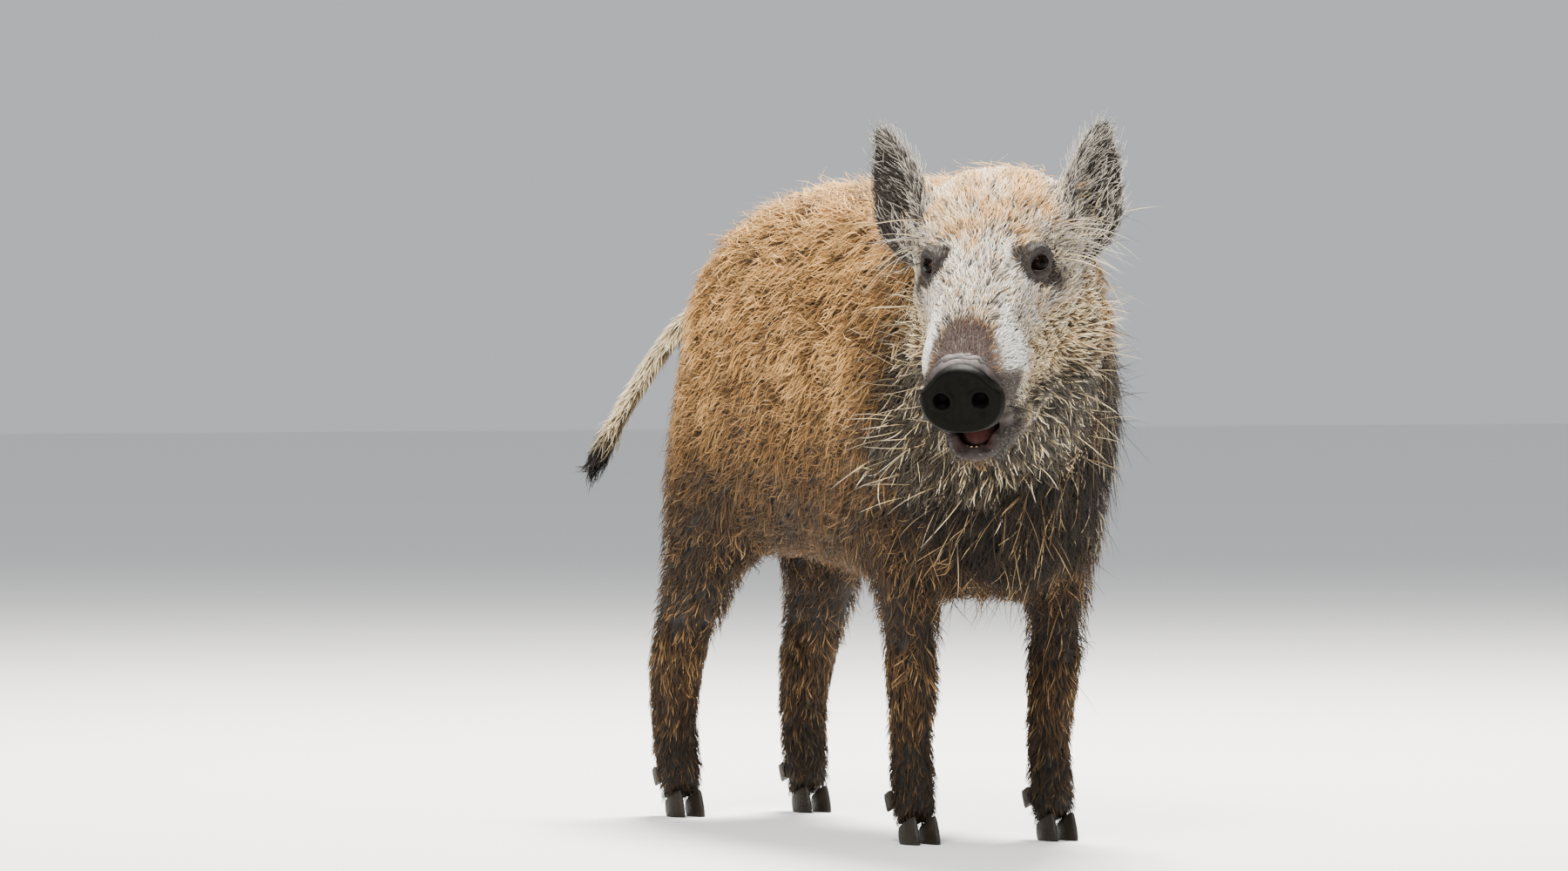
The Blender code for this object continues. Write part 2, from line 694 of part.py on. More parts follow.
def make_mouth(body):
    """Parts off the lower jaw, hollows its floor, and lays the tongue and front teeth in."""
    low = (-0.12, -0.30, -0.24)
    high = (0.12, -0.034, -0.1225)
    jaw = part_off_box(body, low, high, HEAD)
    slope = Matrix.Rotation(MOUTH_SLOPE, 4, "X")
    floor = ellipsoid("floor", FLOOR_CENTRE, FLOOR_RADII, HEAD, slope, 8)
    boolean(jaw, floor, "DIFFERENCE")
    remove(floor)
    tongue = ellipsoid("tongue", TONGUE_CENTRE, TONGUE_RADII, HEAD, slope, 8)
    finish(tongue, "tongue", MOUTH)
    lean = Matrix.Rotation(TOOTH_LEAN, 4, "X")
    for offset in TOOTH_OFFSETS:
        place = Matrix.Translation((offset, TOOTH_ROW[0] + TOOTH_ROW[1] * offset**2, TOOTH_Z))
        bm = bmesh.new()
        bmesh.ops.create_cone(
            bm, cap_ends=True, segments=6, depth=TOOTH_HEIGHT,
            radius1=TOOTH_RADII[0], radius2=TOOTH_RADII[1],
        )
        bmesh.ops.transform(bm, matrix=HEAD @ place @ lean, verts=bm.verts)
        tooth = object_from("tooth", bm, cutters)
        boolean(jaw, tooth, "UNION")
        remove(tooth)
    keep_largest(jaw)
    finish(jaw, "lower_jaw", COAT_GREY)


# ---------------------------------------------------------------- tail


def make_tail(body):
    """A bare-based tail that hangs to the boar's right, and its tuft."""
    # x, y, z, radius
    rows = [
        (0.010, 0.335, 0.600, 0.0180),
        (-0.008, 0.368, 0.600, 0.0165),
        (-0.036, 0.393, 0.577, 0.0145),
        (-0.070, 0.399, 0.536, 0.0130),
        (-0.100, 0.397, 0.495, 0.0120),
        (-0.126, 0.394, 0.457, 0.0115),
        (-0.142, 0.391, 0.430, 0.0125),
        (-0.153, 0.389, 0.410, 0.0095),
        (-0.159, 0.387, 0.399, 0.0030),
    ]
    dense = between_stations(rows, 3)
    sections = []
    for i, (x, y, z, radius) in enumerate(dense):
        before, after = dense[max(i - 1, 0)], dense[min(i + 1, len(dense) - 1)]
        along = (Vector(after[:3]) - Vector(before[:3])).normalized()
        side = along.cross(Vector((0, 1, 0))).normalized()
        sections.append(
            Section(Vector((x, y, z)), side, side.cross(along), radius, radius, radius, 2.0, 2.0)
        )
    tail = loft("tail", sections)
    body_grown = copy_of(body, "body_grown")
    swell = body_grown.modifiers.new("Swell", "DISPLACE")
    swell.strength = 2 * GAP
    swell.mid_level = 0.0
    bake_modifiers(body_grown)
    boolean(tail, body_grown, "DIFFERENCE")
    remove(body_grown)
    keep_largest(tail)
    thin = tail.modifiers.new("Thin", "DECIMATE")
    thin.ratio = 0.20
    bake_modifiers(tail)
    tuft = part_off_box(tail, (-0.30, 0.30, 0.30), (-0.05, 0.50, 0.446))
    finish(tuft, "tail_tuft", COAT_DARK)
    finish(tail, "tail", COAT_TAN)


# ---------------------------------------------------------------- legs and hooves


def claw(name, matrix, length, width, height, heel, flat_side):
    """A pointed claw of horn with a flat sole: rings from the sole up to the coronet."""
    segments = 9
    rows = ((0.0, 0.92), (0.15, 1.0), (0.60, 0.98), (1.0, 0.90))
    bm = bmesh.new()
    rings = []
    for share, size in rows:
        ring = []
        for i in range(segments):
            angle = 2 * math.pi * i / segments
            c, s = math.cos(angle), math.sin(angle)
            toe = max(0.0, -s)  # 1 at the tip of the toe
            x = c * width / 2 * size * (1 - 0.62 * toe**2.2)
            if c * flat_side > 0:
                x *= 0.80
            y = s * length / 2 * size
            top = heel + (height - heel) * (0.5 - s / 2)
            y += share * top * CLAW_LEAN
            ring.append(bm.verts.new((x, y, share * top)))
        rings.append(ring)
    for lower, upper in zip(rings, rings[1:]):
        for i in range(segments):
            j = (i + 1) % segments
            bm.faces.new((lower[i], lower[j], upper[j], upper[i]))
    bm.faces.new(rings[0])
    bm.faces.new(rings[-1])
    bmesh.ops.recalc_face_normals(bm, faces=bm.faces)
    bmesh.ops.transform(bm, matrix=matrix, verts=bm.verts)
    return finish(object_from(name, bm, cutters), name, HORN)


Leg = namedtuple("Leg", "name side foot_x foot_y wall_x middle_y radius spring_z knee_z")


def legs():
    found = []
    for side, word in ((1, "left"), (-1, "right")):
        found.append(
            Leg(f"fore_{word}", side, FORE_FOOT_X, FORE_FOOT_Y, FORE_WALL_X, -0.302, 0.098, 0.290, 0.172)
        )
        hind_y = HIND_FOOT_Y + side * HIND_STEP
        found.append(
            Leg(f"hind_{word}", side, HIND_FOOT_X, hind_y, HIND_WALL_X, 0.245, 0.132, 0.300, 0.205)
        )
    return found


def cut_coronet(foot, leg):
    """Trims the foot's end to the slanted plane on which the claws sit."""
    fall = (CLAW_HEIGHT - CLAW_HEEL) / (0.90 * CLAW_LENGTH)
    slope = math.atan(fall / (1 - CLAW_LEAN * fall))
    middle_z = (CLAW_HEIGHT + CLAW_HEEL) / 2
    middle_y = leg.foot_y - CLAW_FORWARD + CLAW_LEAN * middle_z
    bm = bmesh.new()
    bm.from_mesh(foot.data)
    cut = bmesh.ops.bisect_plane(
        bm,
        geom=bm.verts[:] + bm.edges[:] + bm.faces[:],
        plane_co=(0, middle_y, middle_z + 1.5 * GAP),
        plane_no=Matrix.Rotation(-slope, 3, "X") @ Vector((0, 0, 1)),
        clear_inner=True,
    )
    rim = [edge for edge in cut["geom_cut"] if isinstance(edge, bmesh.types.BMEdge)]
    bmesh.ops.holes_fill(bm, edges=rim, sides=0)
    bmesh.ops.recalc_face_normals(bm, faces=bm.faces)
    bm.to_mesh(foot.data)
    bm.free()


def make_leg(body, leg):
    whole = part_off_leg(body, leg)
    keep_largest(whole)
    low = part_off_box(whole, (-0.5, -0.6, -0.2), (0.5, 0.6, leg.knee_z))
    keep_largest(low)
    keep_largest(whole)
    cut_coronet(low, leg)
    finish(whole, f"leg_{leg.name}_upper", COAT_DARK)
    finish(low, f"leg_{leg.name}_lower", COAT_DARK)
    for inward, word in ((-1, "inner"), (1, "outer")):
        sideways = leg.side * inward
        x = leg.side * leg.foot_x + sideways * (CLAW_WIDTH + CLEFT) / 2
        main = Matrix.Translation((x, leg.foot_y - CLAW_FORWARD, 0.0))
        claw(f"hoof_{leg.name}_{word}", main, CLAW_LENGTH, CLAW_WIDTH, CLAW_HEIGHT, CLAW_HEEL, -sideways)
        spread = leg.side * leg.foot_x + sideways * DEWCLAW_SPREAD
        dew = (
            Matrix.Translation((spread, leg.foot_y + DEWCLAW_BEHIND, DEWCLAW_Z))
            @ Matrix.Rotation(math.pi - sideways * math.radians(24.0), 4, "Z")
            @ Matrix.Rotation(math.radians(34.0), 4, "X")
        )
        dewclaw = claw(f"dewclaw_{leg.name}_{word}", dew, 0.0260, 0.0135, 0.020, 0.017, sideways)
        seat = copy_of(low, "seat")
        swell = seat.modifiers.new("Swell", "DISPLACE")
        swell.strength = GAP
        swell.mid_level = 0.0
        bake_modifiers(seat)
        boolean(dewclaw, seat, "DIFFERENCE")
        remove(seat)
        keep_largest(dewclaw)


# ---------------------------------------------------------------- the whole


def stand_on_origin():
    """Moves the solids so that the middle of their box's floor is the origin."""
    points = np.array([v.co for obj in parts.objects for v in obj.data.vertices])
    low, high = points.min(axis=0), points.max(axis=0)
    shift = Matrix.Translation((-(low[0] + high[0]) / 2, -(low[1] + high[1]) / 2, -low[2]))
    for obj in parts.objects:
        obj.data.transform(shift)


def main():
    global parts, cutters
    clear_scene()
    parts = new_collection("wild_boar")
    cutters = new_collection("cutters")
    body = joined_body()
    make_eyes(body)
    make_ears(body)
    make_snout_disc(body)
    make_tail(body)
    for leg in legs():
        make_leg(body, leg)
    make_mouth(body)
    head = part_off_box(body, (-0.25, -0.40, -0.30), (0.25, 0.120, 0.25), HEAD)
    keep_largest(head)
    neck_cut = Matrix.Translation((0, -0.375, 0.56)) @ Matrix.Rotation(math.radians(-16.0), 4, "X")
    neck = part_off_box(body, (-0.35, -0.35, -0.35), (0.35, 0.0, 0.35), neck_cut)
    keep_largest(neck)
    keep_largest(body)
    finish(head, "head", COAT_GREY)
    finish(neck, "neck", COAT_TAN)
    finish(body, "trunk", COAT_TAN)
    stand_on_origin()


main()
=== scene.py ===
"""Wild boar in its coat: one skin, tufts of hair, eyes, snout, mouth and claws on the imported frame."""

from __future__ import annotations

import logging
import math
from dataclasses import dataclass
from enum import Enum
from typing import Callable, Iterator

import bmesh
import bpy
import numpy as np
from bmesh.types import BMesh, BMVert
from bpy.types import Material, Mesh, Node, NodeSocket, NodeTree, Object
from mathutils import Matrix, Vector
from mathutils.bvhtree import BVHTree


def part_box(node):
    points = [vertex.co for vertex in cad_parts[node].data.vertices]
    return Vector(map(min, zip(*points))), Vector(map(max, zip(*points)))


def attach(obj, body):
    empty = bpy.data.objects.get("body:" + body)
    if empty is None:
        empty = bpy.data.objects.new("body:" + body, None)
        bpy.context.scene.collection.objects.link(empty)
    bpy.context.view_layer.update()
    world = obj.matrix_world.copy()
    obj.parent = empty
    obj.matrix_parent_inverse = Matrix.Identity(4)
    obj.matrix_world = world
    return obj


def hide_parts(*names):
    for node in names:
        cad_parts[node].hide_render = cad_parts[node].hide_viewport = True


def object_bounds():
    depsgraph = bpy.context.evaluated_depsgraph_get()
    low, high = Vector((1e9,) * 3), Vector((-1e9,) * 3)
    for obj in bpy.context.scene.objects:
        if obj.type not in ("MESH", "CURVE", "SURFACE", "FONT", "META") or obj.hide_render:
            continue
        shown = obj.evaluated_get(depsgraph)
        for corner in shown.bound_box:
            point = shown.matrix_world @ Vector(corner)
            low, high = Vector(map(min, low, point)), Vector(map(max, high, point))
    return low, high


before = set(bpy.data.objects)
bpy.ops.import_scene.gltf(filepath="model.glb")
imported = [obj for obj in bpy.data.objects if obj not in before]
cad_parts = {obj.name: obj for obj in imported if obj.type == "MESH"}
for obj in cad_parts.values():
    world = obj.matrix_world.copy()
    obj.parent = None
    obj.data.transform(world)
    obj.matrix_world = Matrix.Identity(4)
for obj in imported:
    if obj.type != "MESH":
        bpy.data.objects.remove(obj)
CAD_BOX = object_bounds()

Array = np.ndarray
Spot = tuple[float, float, float]
Colour = Spot
Pair = tuple[float, float]
Trio = tuple[Array, Array, Array]
log = logging.getLogger("wild_boar")

LEGS = ("fore_left", "fore_right", "hind_left", "hind_right")
SIDES = ((1, "left"), (-1, "right"))


# ---- numbers and fields


def ramp(values: Array, low: float, high: float) -> Array:
    """Smooth steps from 0 at low to 1 at high; low may be the larger."""
    share = np.clip((np.asarray(values) - low) / (high - low), 0.0, 1.0)
    return share * share * (3.0 - 2.0 * share)


def hill(distance: Array, width: float) -> Array:
    """A bell of height 1 that falls off over the width."""
    return np.exp(-((np.asarray(distance) / width) ** 2))


def unit(vectors: Array) -> Array:
    """The vectors, each made one long."""
    return vectors / np.maximum(np.linalg.norm(vectors, axis=-1, keepdims=True), 1e-12)


def along_skin(vectors: Array, normals: Array) -> Array:
    """The vectors without their share along the normals."""
    return vectors - normals * (vectors * normals).sum(axis=1)[:, None]


def blend(first: Array, second: Array, share: Array) -> Array:
    """Rows of first turned into rows of second by the share of each."""
    return first + (second - first) * share[:, None]


def ripple(points: Array, size: float, seed: int, waves: int = 7) -> Array:
    """Smooth wandering values, mostly from -1 to 1.

    Args:
        points: places, one to a row.
        size: about how far apart its rises and falls lie, in metres.
        seed: which wandering it is.
        waves: how many sine waves are added up.

    Returns:
        One value for each point.
    """
    rng = np.random.default_rng(seed)
    total = np.zeros(len(points))
    pace = 2 * math.pi / size
    for _ in range(waves):
        direction = unit(rng.normal(size=3))
        total += np.sin(points @ direction * pace * rng.uniform(0.5, 1.7) + rng.uniform(0, 6.3))
    return total / math.sqrt(waves)


def wandering(points: Array, size: float, seed: int) -> Array:
    """Three wandering values for each point, as a direction."""
    return np.stack([ripple(points, size, seed + k) for k in range(3)], axis=1)


def columns(*values: Array | float) -> Array:
    """Rows of which each column is given, as one number or as one for every row."""
    return np.stack(np.broadcast_arrays(*values), axis=1)


def moved(points: Array, matrix: Matrix) -> Array:
    """The points carried by a matrix of four rows."""
    four = np.array(matrix)
    return points @ four[:3, :3].T + four[:3, 3]


def turned(vectors: Array, matrix: Matrix) -> Array:
    """The directions turned by a matrix."""
    return vectors @ np.array(matrix)[:3, :3].T


def box_middle(node: str) -> Vector:
    """The middle of a CAD node's box."""
    low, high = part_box(node)
    return (Vector(low) + Vector(high)) / 2


# ---- where things are


@dataclass(frozen=True)
class HeadFrame:
    """The turned head's own axes: +x to its left, -y to its nose, +z to its crown."""

    yaw: float = math.radians(-38.0)
    roll: float = math.radians(-1.7)
    pitch: float = math.radians(20.0)
    eye: Spot = (0.0562, -0.0008, -0.0010)
    gaze: Spot = (0.66, -0.74, 0.10)
    disc: Spot = (0.0, -0.1900, -0.0830)
    disc_tilt: float = math.radians(3.0)

    def turn(self) -> Matrix:
        """The head's rotation."""
        return (
            Matrix.Rotation(self.yaw, 3, "Z")
            @ Matrix.Rotation(self.roll, 3, "Y")
            @ Matrix.Rotation(self.pitch, 3, "X")
        )

    def matrix(self) -> Matrix:
        """The head's place, with its origin midway between the eyes."""
        middle = (box_middle("eye_left") + box_middle("eye_right")) / 2
        origin = middle - self.turn() @ Vector((0.0, self.eye[1], self.eye[2]))
        return Matrix.Translation(origin) @ self.turn().to_4x4()

    def inward(self, points: Array) -> Array:
        """Places of the body in the head's axes."""
        return moved(points, self.matrix().inverted())

    def directions(self, vectors: Array) -> Array:
        """Directions in the head's axes, turned into the body's."""
        return turned(vectors, self.turn())

    def eye_matrix(self, side: int) -> Matrix:
        """An eye's place, with +z out of the pupil and +y up, for side 1 or -1."""
        centre = Vector((side * self.eye[0], self.eye[1], self.eye[2]))
        gaze = Vector((side * self.gaze[0], self.gaze[1], self.gaze[2]))
        return self.matrix() @ Matrix.Translation(centre) @ gaze.to_track_quat("Z", "Y").to_matrix().to_4x4()

    def disc_matrix(self) -> Matrix:
        """The snout disc's place: its back face at the origin, -y out of the nose."""
        return self.matrix() @ Matrix.Translation(self.disc) @ Matrix.Rotation(self.disc_tilt, 4, "X")


HEAD = HeadFrame()
MID_X = box_middle("trunk").x
FORE_Y = box_middle("hoof_fore_left_inner").y
HIND_Y = (box_middle("hoof_hind_left_inner").y + box_middle("hoof_hind_right_inner").y) / 2
MID_Y = (FORE_Y + HIND_Y) / 2
BACK_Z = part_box("trunk")[1][2]
BELLY_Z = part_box("trunk")[0][2]


class Region(Enum):
    """The regions of flesh that the coat tells apart."""

    TRUNK = 0
    NECK = 1
    HEAD = 2
    JAW = 3
    EAR_LEFT = 4
    EAR_RIGHT = 5
    TAIL = 6
    LEG_UPPER = 7
    LEG_LOWER = 8


def region_of(node: str) -> Region:
    """The region that a CAD node belongs to.

    Args:
        node: one of the flesh nodes.

    Returns:
        Its region.
    """
    if node.startswith("leg_"):
        return Region.LEG_UPPER if node.endswith("upper") else Region.LEG_LOWER
    named = {
        "trunk": Region.TRUNK,
        "neck": Region.NECK,
        "head": Region.HEAD,
        "lower_jaw": Region.JAW,
        "ear_left": Region.EAR_LEFT,
        "ear_right": Region.EAR_RIGHT,
        "tail": Region.TAIL,
        "tail_tuft": Region.TAIL,
    }
    return named[node]


def among(regions: Array, *wanted: Region) -> Array:
    """Which of the region numbers belong to the wanted regions."""
    return np.isin(regions, [region.value for region in wanted])


FLESH = (
    "trunk", "neck", "head", "lower_jaw", "ear_left", "ear_right", "tail", "tail_tuft",
    *(f"leg_{leg}_{end}" for leg in LEGS for end in ("upper", "lower")),
)


# ---- meshes


def merged(node: str) -> BMesh:
    """A copy of a CAD node's mesh."""
    bm = bmesh.new()
    bm.from_mesh(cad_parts[node].data)
    bmesh.ops.remove_doubles(bm, verts=bm.verts, dist=1e-5)
    return bm


def new_object(
    name: str, bm: BMesh, material: Material | None = None
) -> Object:
    """An object from a bmesh, which is freed.

    Args:
        name: the piece's name.
        bm: its shape.
        material: its finish, or None for a helper.

    Returns:
        The object, linked to the scene and shaded smooth.
    """
    mesh = bpy.data.meshes.new(name)
    bm.to_mesh(mesh)
    bm.free()
    obj = bpy.data.objects.new(name, mesh)
    bpy.context.scene.collection.objects.link(obj)
    mesh.shade_smooth()
    if material is not None:
        mesh.materials.append(material)
    return obj


def apply_modifiers(obj: Object) -> None:
    """Replaces the mesh by what its modifiers make.

    Args:
        obj: the object, which loses its modifiers.
    """
    graph = bpy.context.evaluated_depsgraph_get()
    made = bpy.data.meshes.new_from_object(obj.evaluated_get(graph))
    obj.modifiers.clear()
    old = obj.data
    obj.data = made
    bpy.data.meshes.remove(old)
    made.name = obj.name


def remesh(obj: Object, voxel: float) -> None:
    """Makes one even surface of an object."""
    modifier = obj.modifiers.new("Remesh", "REMESH")
    modifier.mode = "VOXEL"
    modifier.voxel_size = voxel
    apply_modifiers(obj)


def dress(mesh: Mesh, material: Material) -> None:
    """Gives a mesh one finish and smooth shading."""
    mesh.materials.clear()
    mesh.materials.append(material)
    mesh.shade_smooth()


def rounded(
    name: str, bm: BMesh, material: Material, levels: int
) -> Object:
    """An object from a coarse bmesh, subdivided until it is round.

    Args:
        name: the piece's name.
        bm: its shape, which is freed.
        material: its finish.
        levels: how often it is subdivided.

    Returns:
        The object.
    """
    obj = new_object(name, bm)
    modifier = obj.modifiers.new("Round", "SUBSURF")
    modifier.levels = modifier.render_levels = levels
    apply_modifiers(obj)
    dress(obj.data, material)
    return obj


def values_of(items: bpy.types.bpy_prop_collection, key: str, width: int, kind: type = float) -> Array:
    """One value of every item of a mesh's collection."""
    flat = np.empty(len(items) * width, kind)
    items.foreach_get(key, flat)
    return flat.reshape(-1, width)


def points_of(mesh: Mesh) -> Array:
    """The vertices' places."""
    return values_of(mesh.vertices, "co", 3)


def normals_of(mesh: Mesh) -> Array:
    """The vertices' outward directions."""
    return values_of(mesh.vertex_normals, "vector", 3)


def edges_of(mesh: Mesh) -> Array:
    """Pairs of joined vertices."""
    return values_of(mesh.edges, "vertices", 2, np.int64)


def set_points(mesh: Mesh, points: Array) -> None:
    """Moves the vertices."""
    mesh.vertices.foreach_set("co", points.ravel())
    mesh.update()


def smoothed(points: Array, edges: Array, share: Array, rounds: int) -> Array:
    """Moves each point towards the middle of its neighbours.

    Args:
        points: places, one to a row.
        edges: pairs of joined points.
        share: how far each point goes in a round, from 0 to 1.
        rounds: how many rounds.

    Returns:
        The new places.
    """
    count = np.bincount(edges.ravel(), minlength=len(points))[:, None]
    for _ in range(rounds):
        total = np.zeros_like(points)
        for axis in range(points.shape[1]):
            total[:, axis] = np.bincount(edges[:, 0], points[edges[:, 1], axis], len(points))
            total[:, axis] += np.bincount(edges[:, 1], points[edges[:, 0], axis], len(points))
        points = blend(points, total / np.maximum(count, 1), share)
    return points


def colour_attribute(mesh: Mesh, name: str, colours: Array) -> None:
    """Stores a linear colour for each vertex."""
    layer = mesh.color_attributes.new(name, "FLOAT_COLOR", "POINT")
    four = np.ones((len(colours), 4))
    four[:, :3] = np.clip(colours, 0.0, 1.0)
    layer.data.foreach_set("color", four.ravel())


def value_attribute(mesh: Mesh, name: str, values: Array) -> None:
    """Stores a number for each vertex."""
    layer = mesh.attributes.new(name, "FLOAT", "POINT")
    layer.data.foreach_set("value", np.asarray(values, np.float32))


# ---- finishes


def shade(red: int, green: int, blue: int) -> Colour:
    """A colour from its usual 0 to 255 values, as linear light."""
    linear = []
    for value in (red, green, blue):
        c = value / 255
        linear.append(c / 12.92 if c <= 0.04045 else ((c + 0.055) / 1.055) ** 2.4)
    return (linear[0], linear[1], linear[2])


class Hair(Enum):
    """The coat's hair colours."""

    BLACK = shade(14, 12, 9)
    DARK = shade(42, 32, 23)
    UMBER = shade(76, 55, 33)
    BROWN = shade(112, 80, 46)
    RUST = shade(160, 112, 60)
    OCHRE = shade(198, 146, 82)
    SAND = shade(228, 184, 124)
    STRAW = shade(228, 200, 146)
    CREAM = shade(246, 236, 216)
    WHITE = shade(252, 249, 242)
    GREY = shade(158, 150, 142)
    SLATE = shade(64, 58, 54)


class Hide(Enum):
    """The bare skin's colours, some of them painted shade and one a painted highlight."""

    DARK = shade(38, 32, 29)
    MAUVE = shade(44, 36, 34)
    BRIDGE = shade(62, 47, 42)
    PALE = shade(150, 140, 136)
    FOLD = shade(78, 73, 73)
    LID = shade(36, 29, 28)
    POUCH = shade(40, 32, 30)
    LIP = shade(56, 47, 44)
    # The mouth's inside: its own colour darkened as painted shade.
    MOUTH_AND_PAINTED_SHADE = shade(52, 32, 29)
    # Near-black gristle, partly the disc's own colour and partly painted shade over its front.
    DISC = shade(6, 6, 3)
    # Painted highlight along the snout disc's top edge, where light from above catches it.
    PAINTED_RIM_HIGHLIGHT = shade(26, 23, 19)
    # Painted shade: black for the nostril pits and for darkening the disc's upper part.
    PAINTED_SHADE_BLACK = shade(4, 3, 3)


def rgb(colour: Enum) -> Array:
    """A named colour as an array."""
    return np.array(colour.value)


@dataclass(frozen=True)
class Finish:
    """The fixed numbers of a Principled surface."""

    name: str
    roughness: float
    specular: float = 0.5
    coat: float = 0.0
    coat_roughness: float = 0.1
    subsurface: float = 0.0
    subsurface_radius: Spot = (0.006, 0.003, 0.002)

    def start(self) -> tuple[Material, Node]:
        """A new material and its Principled node, with these numbers."""
        material = bpy.data.materials.new(self.name)
        material.use_nodes = True
        shader = material.node_tree.nodes["Principled BSDF"]
        for label, value in (
            ("Roughness", self.roughness),
            ("Specular IOR Level", self.specular),
            ("Coat Weight", self.coat),
            ("Coat Roughness", self.coat_roughness),
            ("Subsurface Weight", self.subsurface),
            ("Subsurface Radius", self.subsurface_radius),
        ):
            shader.inputs[label].default_value = value
        return material, shader


class Graph:
    """A node tree with short ways to add and link nodes."""

    def __init__(self, tree: NodeTree) -> None:
        """Keeps the tree."""
        self.tree = tree

    def node(
        self, kind: str, inputs: dict[str | int, object] | None = None, **properties: object
    ) -> Node:
        """Adds a node.

        Args:
            kind: the node's type name.
            inputs: values of its inputs, by their names or places.
            properties: its properties.

        Returns:
            The node.
        """
        made = self.tree.nodes.new(kind)
        for key, value in properties.items():
            setattr(made, key, value)
        for key, value in (inputs or {}).items():
            made.inputs[key].default_value = value
        return made

    def group(self, tree: NodeTree, inputs: dict[str | int, object]) -> Node:
        """Places a node group with its own values."""
        return self.node("ShaderNodeGroup", inputs, node_tree=tree)

    def link(self, source: NodeSocket, target: NodeSocket) -> None:
        """Joins two sockets."""
        self.tree.links.new(source, target)

    def ramp_node(self, source: NodeSocket, low: float, high: float) -> NodeSocket:
        """Stretches a number from low..high to 0..1, clamped."""
        made = self.node("ShaderNodeMapRange", {"From Min": low, "From Max": high})
        self.link(source, made.inputs[0])
        return made.outputs[0]

    def mix(self, share: NodeSocket, first: object, second: object) -> NodeSocket:
        """Mixes two colours, each a socket or a colour of three numbers.

        Args:
            share: the socket with the second's share.
            first: one colour.
            second: the other.

        Returns:
            The mixed colour's socket.
        """
        made = self.node("ShaderNodeMix", data_type="RGBA")
        self.link(share, made.inputs[0])
        for place, value in ((6, first), (7, second)):
            if isinstance(value, NodeSocket):
                self.link(value, made.inputs[place])
            else:
                made.inputs[place].default_value = (*value, 1.0)
        return made.outputs[2]


def group_with(
    name: str, inputs: dict[str, tuple[str, object]], outputs: dict[str, str]
) -> tuple[Graph, Node, Node]:
    """A new shader node group.

    Args:
        name: the group's name.
        inputs: each input's socket type and default value.
        outputs: each output's socket type.

    Returns:
        Its graph, and its input and output nodes.
    """
    tree = bpy.data.node_groups.new(name, "ShaderNodeTree")
    for label, (kind, value) in inputs.items():
        socket = tree.interface.new_socket(label, in_out="INPUT", socket_type=kind)
        socket.default_value = value
    for label, kind in outputs.items():
        tree.interface.new_socket(label, in_out="OUTPUT", socket_type=kind)
    graph = Graph(tree)
    return graph, graph.node("NodeGroupInput"), graph.node("NodeGroupOutput")


def mottle_group() -> NodeTree:
    """Two sizes of soft patches that make a colour lighter and darker."""
    graph, enter, leave = group_with(
        "mottle",
        {
            "Colour": ("NodeSocketColor", (0.5, 0.5, 0.5, 1.0)),
            "Size": ("NodeSocketFloat", 60.0),
            "Strength": ("NodeSocketFloat", 0.3),
        },
        {"Colour": "NodeSocketColor", "Mask": "NodeSocketFloat"},
    )
    place = graph.node("ShaderNodeTexCoord")
    noise = graph.node("ShaderNodeTexNoise", {"Detail": 4.0, "Roughness": 0.62})
    graph.link(place.outputs["Object"], noise.inputs["Vector"])
    graph.link(enter.outputs["Size"], noise.inputs["Scale"])
    mask = graph.ramp_node(noise.outputs["Fac"], 0.30, 0.70)
    gain = graph.node("ShaderNodeMath", {2: 1.0}, operation="MULTIPLY_ADD")
    centred = graph.node("ShaderNodeMath", {1: 0.5}, operation="SUBTRACT")
    graph.link(mask, centred.inputs[0])
    graph.link(centred.outputs[0], gain.inputs[0])
    graph.link(enter.outputs["Strength"], gain.inputs[1])
    scaled = graph.node("ShaderNodeVectorMath", operation="SCALE")
    graph.link(enter.outputs["Colour"], scaled.inputs[0])
    graph.link(gain.outputs[0], scaled.inputs["Scale"])
    graph.link(scaled.outputs[0], leave.inputs["Colour"])
    graph.link(mask, leave.inputs["Mask"])
    return graph.tree


def pore_group() -> NodeTree:
    """The height of fine pores and of the creases between them."""
    graph, enter, leave = group_with(
        "pores", {"Size": ("NodeSocketFloat", 900.0)}, {"Height": "NodeSocketFloat"}
    )
    place = graph.node("ShaderNodeTexCoord")
    cells = graph.node("ShaderNodeTexVoronoi", feature="DISTANCE_TO_EDGE")
    noise = graph.node("ShaderNodeTexNoise", {"Scale": 300.0, "Detail": 3.0})
    for texture in (cells, noise):
        graph.link(place.outputs["Object"], texture.inputs["Vector"])
    graph.link(enter.outputs["Size"], cells.inputs["Scale"])
    edge = graph.ramp_node(cells.outputs["Distance"], 0.0, 0.25)
    total = graph.node("ShaderNodeMath", operation="ADD")
    graph.link(edge, total.inputs[0])
    graph.link(noise.outputs["Fac"], total.inputs[1])
    graph.link(total.outputs[0], leave.inputs["Height"])
    return graph.tree


